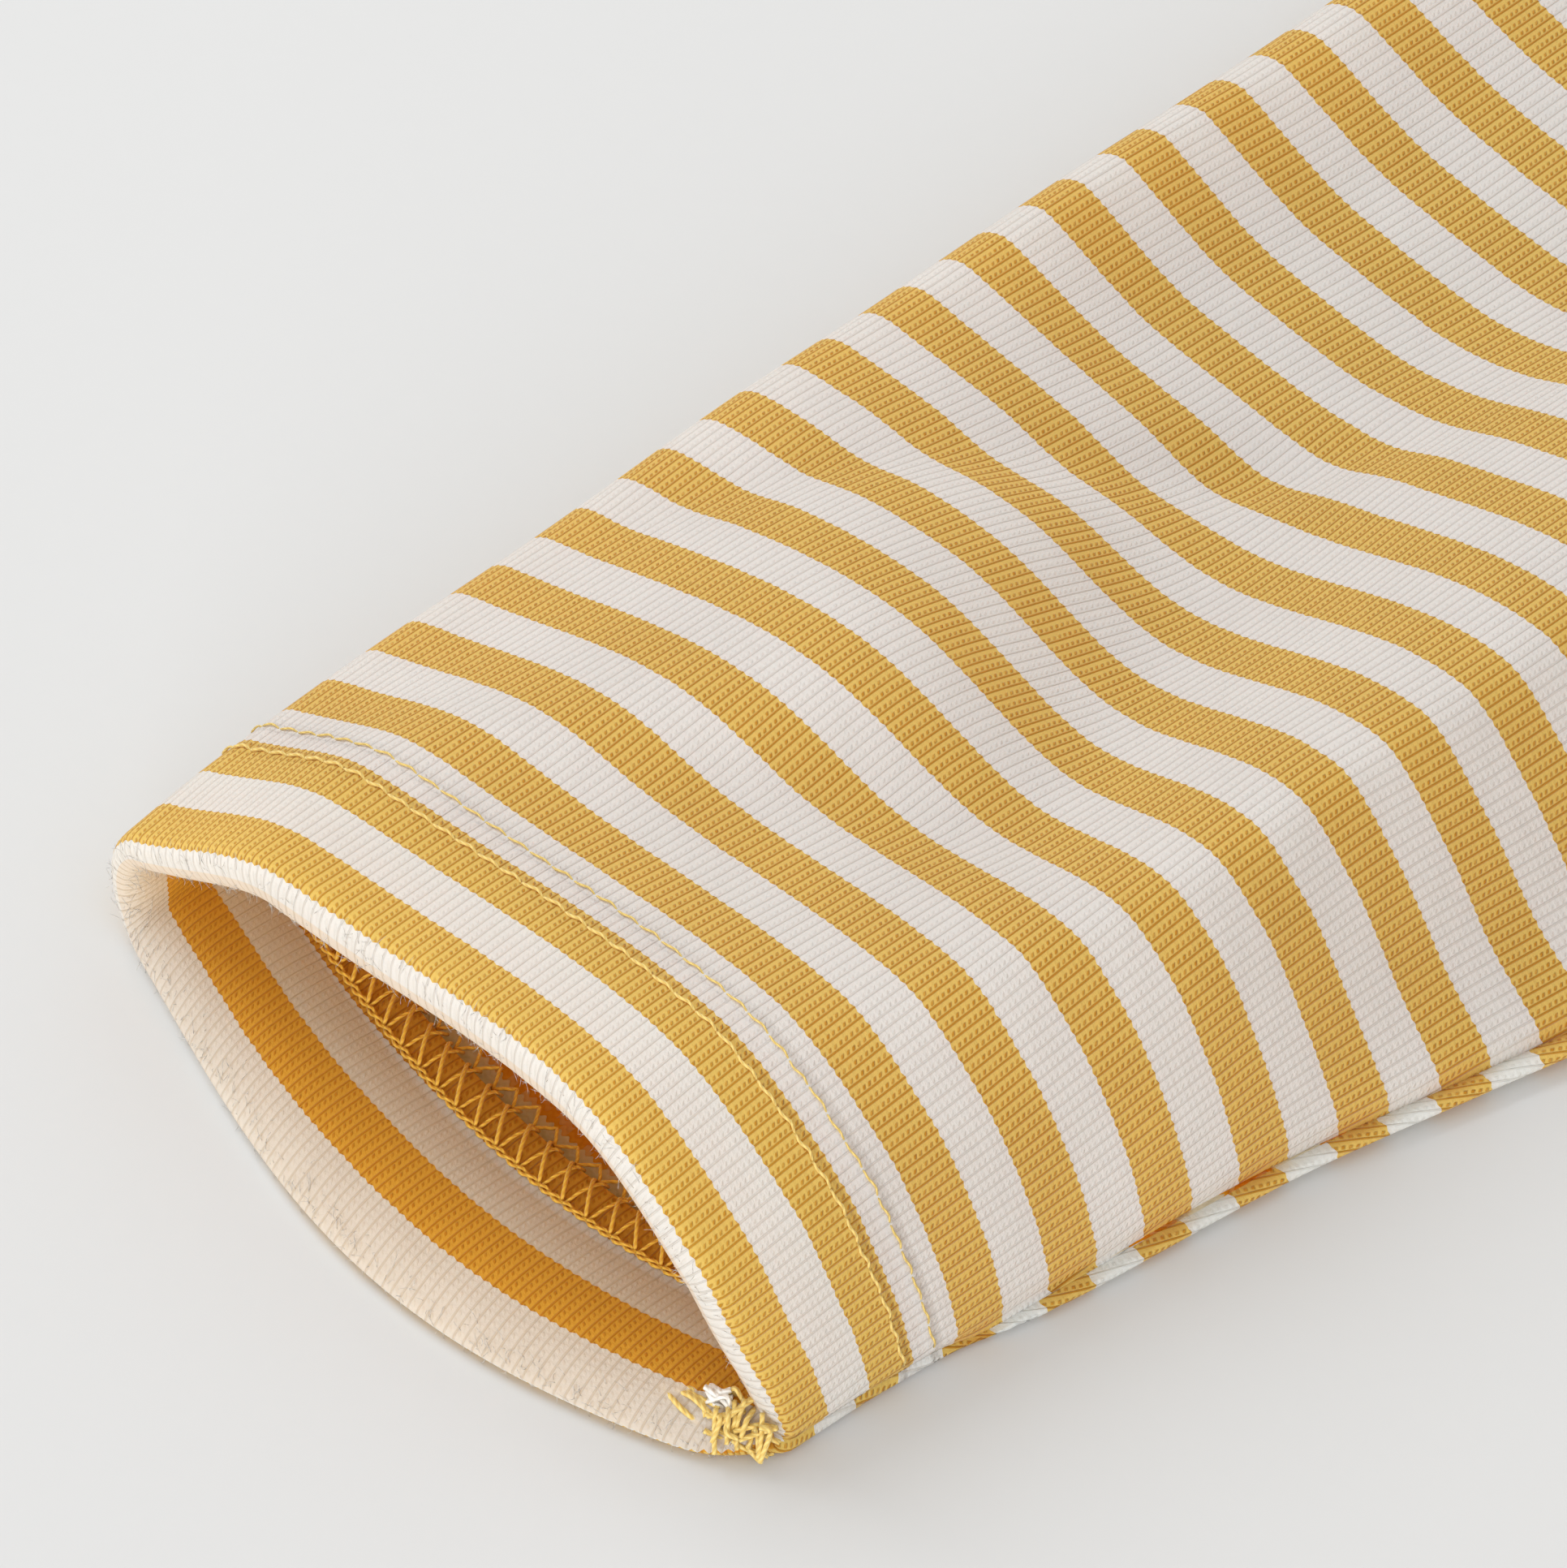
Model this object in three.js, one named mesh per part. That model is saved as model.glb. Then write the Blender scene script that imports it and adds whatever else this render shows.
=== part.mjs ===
// Baby trousers in striped cotton jersey, lying on their back on a flat surface, front up.
// Millimetres. +Z is up, +Y runs from the hems to the waist, and the wearer's right leg is at -X.
// Each leg is one panel, folded at the outer side, and its two long edges meet at the inseam.
import * as THREE from "three";

// Cloth and sewing
const CLOTH = 1.2; // wall of a single layer
const HEM_WALL = 2.6; // two layers and the stitching between them
const HEM_DEPTH = 16; // lower edge turned up inside
const SEAM_GAP = 0.3; // between the edges that are sewn together
const BAND_WALL = 2.8; // doubled cloth over an elastic
const BAND_PROUD = 0.5; // the band stands out from the legs' top edges

// Outline as it lies, along the leg's own grain
const ANKLE = 78.1; // outer fold to inseam at the hem
const INSEAM = 270; // hem to crotch
const SIDE = 415; // hem to the waistband's lower edge
const BAND_WIDTH = 25;
const HALF_SPREAD = 118; // centre line to a hem's outer corner
const LEAN = THREE.MathUtils.degToRad(1.4); // a leg's grain leans in towards the centre
const TAPER = (HALF_SPREAD / Math.cos(LEAN) - ANKLE) / INSEAM - Math.tan(LEAN);

// Open mouth of a leg: how far the hem stands back or forward of a straight line across
const MOUTH_TOP_BACK = 2.7;
const MOUTH_FLOOR_FORWARD = 7.9;
const MOUTH_TOP_REACH = 40; // these die away up the leg
const MOUTH_FLOOR_REACH = 60;

// Round stretches of a section: share of the width on top, millimetres below
const OUTER_ROUND = 0.06;
const INSEAM_ROUND = 0.04;
const FLANK_AT = 0.88;
const FOOT_AT = 0.95;
const FLOOR_ROUND = 5;
const FLOOR_TUCK = 6;

// Gathers under the waistband
const GATHERS = 6; // on each half of the front
const GATHER_HEIGHT = 1.3;
const GATHER_REACH = 60; // they die away this far below the band

// Segments of a section, from the front edge round the outer fold to the back edge
const INSEAM_STEPS = 3;
const TOP_STEPS = 25;
const OUTER_STEPS = 4;
const UNDER_STEPS = 3;
const FLOOR_STEPS = 7;
const STRIP_STEPS = 4;

// Rows of cloth along a leg; the step in the wall at HEM_DEPTH is the turned-up raw edge
const RAW_EDGE = 0.4;
const ROWS = [
  1.2, 7, HEM_DEPTH, HEM_DEPTH + RAW_EDGE, 23, 31, 39, 47, 55, 63, 72, 81, 90, 100, 112, 127, 146,
  170, 200, 226, 247, 261, INSEAM, 280, 305, 335, 358, 374, 388, 402, SIDE,
];
const BAND_ROWS = [SIDE + SEAM_GAP, SIDE + 2.5, SIDE + 12.5, SIDE + BAND_WIDTH - 2, SIDE + BAND_WIDTH];

// Sections of the front layer, one row each. along: millimetres from the hem. inset: how far the outer
// fold comes in. fold, ridge, trough, crest, flank, foot: heights of the cloth's outer face. ridgeAt,
// troughAt, crestAt: where they lie, as shares of the width from the outer fold. front, back: heights of
// the two sewn edges. roll: how far the back layer rolls out past the seam.
const COLUMNS = [
  "along", "inset", "fold", "ridgeAt", "ridge", "troughAt", "trough", "crestAt", "crest", "flank", "foot",
  "front", "back", "roll",
];
const RIGHT_SECTIONS = [
  [0, 1.3, 12.0, 0.25, 20.8, 0.38, 21.6, 0.65, 24.4, 19.8, 14.4, 7.4, 7.4, 0.3],
  [12, 0.4, 12.2, 0.2, 19.0, 0.33, 20.3, 0.68, 23.8, 20.0, 14.2, 7.0, 7.0, 0.3],
  [30, 0, 12.0, 0.32, 20.1, 0.43, 19.4, 0.77, 22.8, 19.9, 13.6, 6.4, 6.4, 0.6],
  [48, 0, 11.6, 0.42, 21.4, 0.63, 18.3, 0.81, 22.3, 20.0, 12.8, 5.4, 5.4, 2.5],
  [66, 0, 12.0, 0.36, 17.2, 0.54, 14.0, 0.8, 22.0, 17.0, 9.2, 4.8, 4.8, 4.0],
  [84, 0, 11.0, 0.3, 10.2, 0.42, 9.4, 0.785, 20.8, 14.6, 8.0, 4.6, 4.6, 4.8],
  [102, 0, 10.6, 0.2, 6.1, 0.32, 5.8, 0.76, 18.8, 13.2, 7.6, 4.6, 4.6, 5.0],
  [130, 0, 8.8, 0.2, 4.4, 0.34, 3.7, 0.73, 17.2, 12.4, 7.4, 4.6, 4.6, 5.0],
  [170, 0, 8.0, 0.22, 6.0, 0.4, 6.6, 0.68, 15.2, 10.8, 7.4, 4.8, 4.8, 4.4],
  [215, 0, 8.6, 0.24, 9.0, 0.42, 9.6, 0.66, 14.2, 10.4, 7.6, 4.8, 4.8, 3.0],
  [247, 0, 9.6, 0.26, 11.0, 0.44, 10.0, 0.67, 14.4, 11.0, 8.4, 5.0, 5.0, 1.2],
  [261, 0, 10.0, 0.27, 11.6, 0.46, 10.2, 0.68, 14.6, 11.8, 10.0, 6.0, 4.0, 0.5],
  [280, 0, 10.4, 0.28, 12.4, 0.47, 10.6, 0.7, 14.4, 12.6, 12.0, 11.0, 0, 0],
  [330, 2, 11.0, 0.3, 14.4, 0.5, 11.8, 0.74, 14.8, 13.6, 13.2, 12.8, 0, 0],
  [375, 8, 11.4, 0.32, 14.0, 0.52, 12.8, 0.76, 14.6, 13.8, 13.6, 13.4, 0, 0],
  [415, 16, 11.6, 0.34, 14.2, 0.54, 14.0, 0.78, 15.0, 14.6, 14.4, 14.4, 0, 0],
  [440, 18, 12.0, 0.34, 14.8, 0.54, 15.2, 0.78, 16.0, 15.8, 15.7, 15.6, 0, 0],
];
const LEFT_SECTIONS = [
  [0, 1.0, 11.0, 0.3, 18.6, 0.45, 19.2, 0.64, 19.6, 15.6, 11.4, 7.0, 7.0, 0.3],
  [14, 0.4, 11.0, 0.28, 17.6, 0.46, 17.4, 0.66, 18.8, 15.6, 11.0, 6.6, 6.6, 0.4],
  [34, 0, 10.2, 0.26, 15.6, 0.48, 13.6, 0.7, 18.0, 14.8, 10.2, 6.2, 6.2, 1.2],
  [58, 0, 9.4, 0.22, 11.4, 0.42, 9.2, 0.66, 17.4, 13.0, 8.8, 5.6, 5.6, 2.4],
  [86, 0, 9.2, 0.2, 8.6, 0.36, 7.4, 0.6, 16.6, 11.4, 8.0, 5.0, 5.0, 3.4],
  [118, 0, 9.8, 0.22, 8.8, 0.38, 7.6, 0.62, 14.6, 10.2, 7.6, 4.8, 4.8, 3.8],
  [150, 0, 10.4, 0.26, 12.0, 0.48, 8.2, 0.7, 13.2, 10.0, 7.4, 4.8, 4.8, 3.6],
  [190, 0, 9.6, 0.3, 12.6, 0.54, 9.6, 0.74, 13.2, 10.4, 7.6, 4.8, 4.8, 3.2],
  [226, 0, 9.6, 0.28, 12.0, 0.52, 10.4, 0.72, 13.8, 10.8, 8.0, 4.8, 4.8, 2.4],
  [247, 0, 9.8, 0.27, 12.0, 0.5, 10.8, 0.7, 14.2, 11.2, 8.6, 5.0, 5.0, 1.2],
  [261, 0, 10.0, 0.27, 12.2, 0.5, 10.9, 0.7, 14.4, 11.8, 10.0, 6.0, 4.0, 0.5],
  [280, 0, 10.4, 0.28, 12.6, 0.5, 11.0, 0.7, 14.4, 12.6, 12.0, 11.0, 0, 0],
  [330, 2, 11.0, 0.32, 15.0, 0.54, 12.2, 0.76, 14.2, 13.4, 13.1, 12.8, 0, 0],
  [375, 8, 11.4, 0.33, 14.4, 0.53, 13.2, 0.76, 14.6, 13.8, 13.6, 13.4, 0, 0],
  [415, 16, 11.6, 0.34, 14.2, 0.54, 14.0, 0.78, 15.0, 14.6, 14.4, 14.4, 0, 0],
  [440, 18, 12.0, 0.34, 14.8, 0.54, 15.2, 0.78, 16.0, 15.8, 15.7, 15.6, 0, 0],
];

// A curve through knots that never swings past them: cubic pieces, level at each high and low.
function curveThrough(at, value) {
  const slope = value.slice(1).map((v, k) => (v - value[k]) / (at[k + 1] - at[k]));
  const last = slope.length - 1;
  const tangent = value.map((_, k) => {
    if (k === 0) return slope[0];
    if (k > last) return slope[last];
    return slope[k - 1] * slope[k] <= 0 ? 0 : (2 * slope[k - 1] * slope[k]) / (slope[k - 1] + slope[k]);
  });
  return (x) => {
    let k = 0;
    while (k < last && x > at[k + 1]) k += 1;
    const width = at[k + 1] - at[k];
    const t = THREE.MathUtils.clamp((x - at[k]) / width, 0, 1);
    const rise = value[k + 1] - value[k];
    const bow = (1 - t) * (tangent[k] * width - rise) - t * (tangent[k + 1] * width - rise);
    return value[k] + rise * t + t * (1 - t) * bow;
  };
}

// A table's columns as functions of the distance from the hem.
function columnsOf(rows) {
  const along = rows.map((row) => row[0]);
  const columns = {};
  COLUMNS.forEach((name, c) => {
    columns[name] = curveThrough(along, rows.map((row) => row[c]));
  });
  return columns;
}

// Outline: the centre line limits the leg's width above the crotch.
function widthAt(along) {
  const centre = (HALF_SPREAD - SEAM_GAP / 2 - along * Math.sin(LEAN)) / Math.cos(LEAN);
  return Math.min(ANKLE + TAPER * along, centre);
}

// From a leg's grain to the garment: lean the leg, and level its cross lines again at the waist.
function toGarment(x, along, z) {
  const level = THREE.MathUtils.smoothstep(along, INSEAM, SIDE - 15);
  return new THREE.Vector3(
    -HALF_SPREAD + x * Math.cos(LEAN) + along * Math.sin(LEAN),
    along * Math.cos(LEAN) - x * Math.sin(LEAN) * (1 - level),
    Math.max(z, 0),
  );
}

// One section of the cloth's outer face, from the front edge round the outer fold to the back edge.
function sectionAt(columns, along) {
  const here = {};
  COLUMNS.forEach((name) => {
    here[name] = columns[name](along);
  });
  const width = widthAt(along) - here.inset;
  const slit = along < INSEAM ? SEAM_GAP / 2 : 0;
  const knots = [OUTER_ROUND * 0.8, here.ridgeAt, here.troughAt, here.crestAt, FLANK_AT, FOOT_AT, 1];
  const heights = [here.fold, here.ridge, here.trough, here.crest, here.flank, here.foot, here.front];
  const profile = curveThrough(knots, heights);
  const gatherGrowth = THREE.MathUtils.smoothstep(along, SIDE - GATHER_REACH, SIDE);
  const outerMiddle = here.fold * 0.46;
  const front = here.front + slit;
  const back = Math.max(here.back - slit, 0);
  const topBack = Math.exp(-along / MOUTH_TOP_REACH);
  const floorForward = Math.exp(-along / MOUTH_FLOOR_REACH);
  const points = [];

  const place = (x, shift, z) => points.push(toGarment(here.inset + x, along + shift, z));
  const topShift = (share) => {
    return topBack * MOUTH_TOP_BACK * Math.sin(Math.PI * share);
  };
  const floorShift = (share) => {
    const middle = Math.sin(Math.PI * THREE.MathUtils.clamp(share, 0, 1));
    return -floorForward * MOUTH_FLOOR_FORWARD * middle;
  };
  const topHeight = (share) => {
    const gather = gatherGrowth * GATHER_HEIGHT * Math.cos(2 * Math.PI * GATHERS * share);
    const cloth = profile(share) + gather * Math.sin(Math.PI * share) ** 0.3;
    if (share < OUTER_ROUND) {
      const round = Math.sqrt(1 - (1 - share / OUTER_ROUND) ** 2);
      return outerMiddle + (cloth - outerMiddle) * round;
    }
    return cloth + slit;
  };
  const top = (share) => place(share * width, topShift(share), topHeight(share));

  for (let k = 0; k < INSEAM_STEPS; k += 1) {
    top(1 - INSEAM_ROUND * (1 - Math.cos((Math.PI / 2) * (k / INSEAM_STEPS))));
  }
  for (let k = 0; k < TOP_STEPS; k += 1) {
    top(THREE.MathUtils.lerp(1 - INSEAM_ROUND, OUTER_ROUND, k / TOP_STEPS));
  }
  for (let k = 0; k <= OUTER_STEPS; k += 1) {
    top(OUTER_ROUND * (1 - Math.sin((Math.PI / 2) * (k / OUTER_STEPS))));
  }
  for (let k = 1; k <= UNDER_STEPS; k += 1) {
    const turn = (Math.PI / 2) * (k / UNDER_STEPS);
    const x = FLOOR_ROUND * (1 - Math.cos(turn));
    place(x, floorShift(x / width), outerMiddle * (1 - Math.sin(turn)));
  }
  const floorEnd = width + here.roll - FLOOR_TUCK;
  for (let k = 1; k <= FLOOR_STEPS; k += 1) {
    const x = THREE.MathUtils.lerp(FLOOR_ROUND, floorEnd, k / FLOOR_STEPS);
    place(x, floorShift(x / width), 0);
  }
  const rolled = width + here.roll * 1.33;
  const strip = new THREE.CubicBezierCurve(
    new THREE.Vector2(floorEnd, 0),
    new THREE.Vector2(rolled, 0),
    new THREE.Vector2(rolled, back * 0.75),
    new THREE.Vector2(width, back),
  );
  for (let k = 1; k <= STRIP_STEPS; k += 1) {
    const point = strip.getPoint(k / STRIP_STEPS);
    place(point.x, floorShift(point.x / width), point.y);
  }
  return points;
}

// Outward normals of a grid of points, from each point's neighbours.
function normalsOf(grid, closed) {
  return grid.map((row, i) =>
    row.map((_, j) => {
      const n = row.length;
      const before = closed ? (j + n - 1) % n : Math.max(j - 1, 0);
      const after = closed ? (j + 1) % n : Math.min(j + 1, n - 1);
      const across = new THREE.Vector3().subVectors(row[after], row[before]);
      const up = grid[Math.min(i + 1, grid.length - 1)][j].clone().sub(grid[Math.max(i - 1, 0)][j]);
      return across.cross(up).negate().normalize();
    }),
  );
}

// A mesh from closed loops of points, one loop for each column, joined column to column.
// The first and last loops are joined too when closed, and otherwise capped between facing rows.
function loopsToGeometry(loops, closed) {
  const size = loops[0].length;
  const index = [];
  const quad = (a, b, c, d) => index.push(a, b, c, a, c, d);
  const spans = closed ? loops.length : loops.length - 1;
  for (let j = 0; j < spans; j += 1) {
    const next = (j + 1) % loops.length;
    for (let k = 0; k < size; k += 1) {
      const up = (k + 1) % size;
      quad(j * size + k, next * size + k, next * size + up, j * size + up);
    }
  }
  if (!closed) {
    const end = (loops.length - 1) * size;
    for (let k = 0; k + 1 < size - 1 - k; k += 1) {
      const across = size - 1 - k;
      if (k + 1 === across - 1) {
        index.push(k, k + 1, across);
        index.push(end + k, end + across, end + k + 1);
      } else {
        quad(k, k + 1, across - 1, across);
        quad(end + k, end + across, end + across - 1, end + k + 1);
      }
    }
  }
  const geometry = new THREE.BufferGeometry();
  const numbers = loops.flat().flatMap((p) => p.toArray());
  geometry.setAttribute("position", new THREE.Float32BufferAttribute(numbers, 3));
  geometry.setIndex(index);
  geometry.computeVertexNormals();
  return geometry;
}

// The two edges of a closed inseam face each other squarely, so they share one direction inwards.
function squareInseam(normals, rows) {
  normals.forEach((row, i) => {
    if (rows[i] >= INSEAM) return;
    const shared = row[0].clone().add(row[row.length - 1]).normalize();
    row[0] = shared;
    row[row.length - 1] = shared.clone();
  });
}

// A leg panel: outer face, the rounded lip of the hem, and the inner face one wall inside.
function legGeometry(sections) {
  const columns = columnsOf(sections);
  const outer = ROWS.map((along) => sectionAt(columns, along));
  const lip = sectionAt(columns, 0);
  const normals = normalsOf([lip, ...outer], false);
  squareInseam(normals, [0, ...ROWS]);
  const lipNormals = normals.shift();
  const inside = (point, normal, wall) => {
    const moved = point.clone().addScaledVector(normal, -wall);
    moved.x = Math.min(moved.x, -SEAM_GAP / 2);
    return moved;
  };
  const loops = lip.map((point, j) => {
    const outward = outer.map((row) => row[j]).reverse();
    const inward = outer.map((row, i) =>
      inside(row[j], normals[i][j], ROWS[i] <= HEM_DEPTH ? HEM_WALL : CLOTH),
    );
    return [...outward, inside(point, lipNormals[j], HEM_WALL / 2), ...inward];
  });
  return loopsToGeometry(loops, false);
}

// The waistband: both legs' sections carried on past their top edges and joined into one ring.
function bandGeometry() {
  const ring = (along) => {
    const right = sectionAt(columnsOf(RIGHT_SECTIONS), along);
    const left = sectionAt(columnsOf(LEFT_SECTIONS), along);
    const facing = left.map((p) => new THREE.Vector3(-p.x, p.y, p.z)).reverse();
    return [...right, ...facing];
  };
  const face = BAND_ROWS.map(ring);
  const normals = normalsOf(face, true);
  const offset = (i, j, distance) => {
    const moved = face[i][j].clone().addScaledVector(normals[i][j], distance);
    moved.y = face[i][j].y;
    moved.z = Math.max(moved.z, 0);
    return moved;
  };
  const last = BAND_ROWS.length - 1;
  const proud = (i) => (i === 0 || i === last ? 0 : BAND_PROUD);
  const loops = face[0].map((_, j) => {
    const rows = BAND_ROWS.map((_row, i) => i);
    const outward = rows.map((i) => offset(i, j, proud(i))).reverse();
    const inward = rows.map((i) => offset(i, j, proud(i) - BAND_WALL));
    return [...outward, ...inward];
  });
  return loopsToGeometry(loops, true);
}

// The same geometry on the other side of the centre plane, with its faces turned to look out again.
function mirrored(geometry) {
  const copy = geometry.clone().scale(-1, 1, 1);
  const index = Array.from(copy.getIndex().array);
  for (let k = 0; k < index.length; k += 3) {
    [index[k + 1], index[k + 2]] = [index[k + 2], index[k + 1]];
  }
  copy.setIndex(index);
  copy.computeVertexNormals();
  return copy;
}

const jersey = new THREE.MeshStandardMaterial({ color: 0xe9c079, roughness: 0.95, metalness: 0 });
const bandJersey = new THREE.MeshStandardMaterial({ color: 0xe3b45f, roughness: 0.95, metalness: 0 });

function piece(name, geometry, material) {
  const mesh = new THREE.Mesh(geometry, material);
  mesh.name = name;
  return mesh;
}

const garment = new THREE.Group();
garment.add(piece("right_leg", legGeometry(RIGHT_SECTIONS), jersey));
garment.add(piece("left_leg", mirrored(legGeometry(LEFT_SECTIONS)), jersey));
garment.add(piece("waistband", bandGeometry(), bandJersey));

// The origin is under the middle of the whole outline, on the surface the garment lies on.
const bounds = new THREE.Box3().setFromObject(garment);
const middle = bounds.getCenter(new THREE.Vector3());
garment.position.set(-middle.x, -middle.y, -bounds.min.z);

const part = new THREE.Group();
part.add(garment);
export default part;
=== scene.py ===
import math

import bpy
import numpy as np
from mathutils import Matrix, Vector


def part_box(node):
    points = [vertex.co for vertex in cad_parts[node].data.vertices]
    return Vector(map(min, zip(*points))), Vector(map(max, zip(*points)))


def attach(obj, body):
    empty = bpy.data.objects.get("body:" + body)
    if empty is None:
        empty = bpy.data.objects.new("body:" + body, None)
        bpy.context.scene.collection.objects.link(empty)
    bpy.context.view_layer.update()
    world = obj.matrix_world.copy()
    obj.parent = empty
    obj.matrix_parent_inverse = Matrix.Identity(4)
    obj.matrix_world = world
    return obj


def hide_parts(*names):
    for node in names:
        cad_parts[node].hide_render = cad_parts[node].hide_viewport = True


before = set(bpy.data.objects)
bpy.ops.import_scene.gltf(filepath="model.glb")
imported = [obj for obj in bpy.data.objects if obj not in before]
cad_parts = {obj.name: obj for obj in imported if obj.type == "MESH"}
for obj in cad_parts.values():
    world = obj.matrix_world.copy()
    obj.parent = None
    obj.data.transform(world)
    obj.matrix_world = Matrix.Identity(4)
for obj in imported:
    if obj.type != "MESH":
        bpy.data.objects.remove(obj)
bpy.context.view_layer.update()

# ---------------------------------------------------------------- sizes, as in the part
ANKLE = 78.1
INSEAM = 270
SIDE = 415
BAND_WIDTH = 25
HALF_SPREAD = 118
LEAN = math.radians(1.4)
SEAM_GAP = 0.3
RISE_GAP = 0.04  # here the legs' sewn edges all but touch
TAPER = (HALF_SPREAD / math.cos(LEAN) - ANKLE) / INSEAM - math.tan(LEAN)
MOUTH_TOP_BACK = 1.9
MOUTH_TOP_SKEW = 0.6  # the front's edge stands back more towards the seam
MOUTH_FLOOR_FORWARD = 9.0
MOUTH_FLOOR_SKEW = 1.14  # the lip reaches farthest forward a little towards the seam
CORNER_BACK = 2.8  # the seam's end is drawn up the leg
CORNER_REACH = 14
CORNER_TOP_SHARE = 0.055
CORNER_FLOOR_SHARE = 0.045
EDGE_ROUND = 0.9  # the strip of the back beside the seam bows out
EDGE_ROUND_LAP = 1.1  # in full where it is this wide
EDGE_OF_LAP = 0.33
STRIP_BULGE = 0.75
MOUTH_TOP_REACH = 40
MOUTH_FLOOR_REACH = 60
OUTER_ROUND = 0.06
FOLD_MIDDLE = 0.46  # of the outer fold's height
FLANK_AT = 0.88
FOOT_AT = 0.95
FLOOR_ROUND = 5
FLOOR_TUCK = 6
GATHERS = 6
GATHER_HEIGHT = 1.3
GATHER_REACH = 60

# The frame's place: the waist edge is its farthest side.
WAIST_Y = SIDE + BAND_WIDTH
TO_ROW_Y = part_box("waistband")[1].y * 1000 - (WAIST_Y * math.cos(LEAN) - 0.13)

# ---------------------------------------------------------------- cloth
CLOTH = 0.9  # one layer of jersey
SEAM_EXTRA = 0.5  # a sewn edge is this much thicker
SEAM_EXTRA_REACH = 1.4
LEAST_UNDER = 0.2  # a wall's inner face lies at least this high
HEM_DEPTH = 16.2
STRIPE = 4.5  # one stripe; two make the repeat
FIRST_STRIPE = 0.72  # the first stripe's edge lies this far up from the hem's fold
WALE = 0.94
COURSE = STRIPE / 8
NEEDLE_ROWS = (13.1, 16.2)
STITCH = 2.5
SEAM_DIP = 1.1  # the sewn edges turn in by this much
RISE_DIP = 0.45  # and less along the rise, where the seam is pulled flat
SEAM_SHOULDER = 1.0  # reach of that dip on the front
STRIP_SHOULDER = 0.45  # the back's cloth stands up close to the seam
LOW_EDGE = 1.0  # a sewn edge lies at least this high past the hem
PAST_HEM = (18, 30)
SQUARED = 2.5  # reach of the direction in which sewn edges turn in

# Sections across a leg, one row each, by their distance along it from the hem: how far the outer fold
# stands in, heights of the front from the fold to the seam with the shares of the width they are at,
# the back's height at the seam, and how far the underside and the seam lie beyond the width.
COLUMNS = (
    "along inset fold ridgeAt ridge troughAt trough crestAt crest flank foot front back edge lap".split()
)
WAIST_SECTIONS = [
    (415, 16, 11.6, 0.34, 14.2, 0.54, 14, 0.78, 15, 14.6, 14.4, 14.4, 0, 0, 0),
    (440, 18, 12, 0.34, 14.8, 0.54, 15.2, 0.78, 16, 15.8, 15.7, 15.6, 0, 0, 0),
]
RIGHT_SECTIONS = [
    (0, 1.3, 12, 0.25, 20.8, 0.38, 21.6, 0.65, 24.2, 17.2, 7.8, 0.8, 0.8, -1.2, -0.3),
    (12, 0.4, 12.2, 0.2, 19, 0.33, 20.3, 0.68, 23.8, 17.4, 8.2, 0.7, 0.7, -1.8, -0.3),
    (30, 0, 12, 0.32, 20.1, 0.43, 19.4, 0.77, 22.9, 17.5, 9, 1.3, 1.3, -0.7, 0.9),
    (48, 0, 11.6, 0.42, 21.4, 0.63, 18.3, 0.81, 22.3, 19.2, 10.4, 1.9, 1.9, 0, 0.9),
    (66, 0, 12, 0.36, 17.2, 0.54, 14, 0.8, 22, 16.6, 8.2, 2.2, 2.2, 2.2, 1.1),
    (84, 0, 11, 0.3, 10.2, 0.42, 9.4, 0.785, 20.8, 14.4, 7.2, 2.5, 2.5, 4.4, 1.6),
    (102, 0, 10.6, 0.2, 6.1, 0.32, 5.8, 0.76, 18.8, 13.2, 7.6, 2.9, 2.9, 4.9, 2),
    (130, 0, 8.8, 0.2, 4.4, 0.34, 3.7, 0.73, 17.2, 12.4, 7.4, 3.4, 3.4, 5, 2.2),
    (170, 0, 8, 0.22, 6, 0.4, 6.6, 0.68, 15.2, 10.8, 7.4, 3.8, 3.8, 4.4, 2.2),
    (215, 0, 8.6, 0.24, 9, 0.42, 9.6, 0.66, 14.2, 10.4, 7.6, 4.4, 4.4, 3, 1.8),
    (247, 0, 9.6, 0.26, 11, 0.44, 10, 0.67, 14.4, 11, 8.4, 5, 5, 1.2, 1),
    (261, 0, 10, 0.27, 11.6, 0.46, 10.2, 0.68, 14.6, 11.8, 10, 6, 4, 0.5, 0.5),
    (280, 0, 10.4, 0.28, 12.4, 0.47, 10.6, 0.7, 14.4, 12.6, 12, 11, 0, 0, 0),
    (330, 2, 11, 0.3, 14.4, 0.5, 11.8, 0.74, 14.8, 13.6, 13.2, 12.8, 0, 0, 0),
    (375, 8, 11.4, 0.32, 14, 0.52, 12.8, 0.76, 14.6, 13.8, 13.6, 13.4, 0, 0, 0),
] + WAIST_SECTIONS
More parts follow.
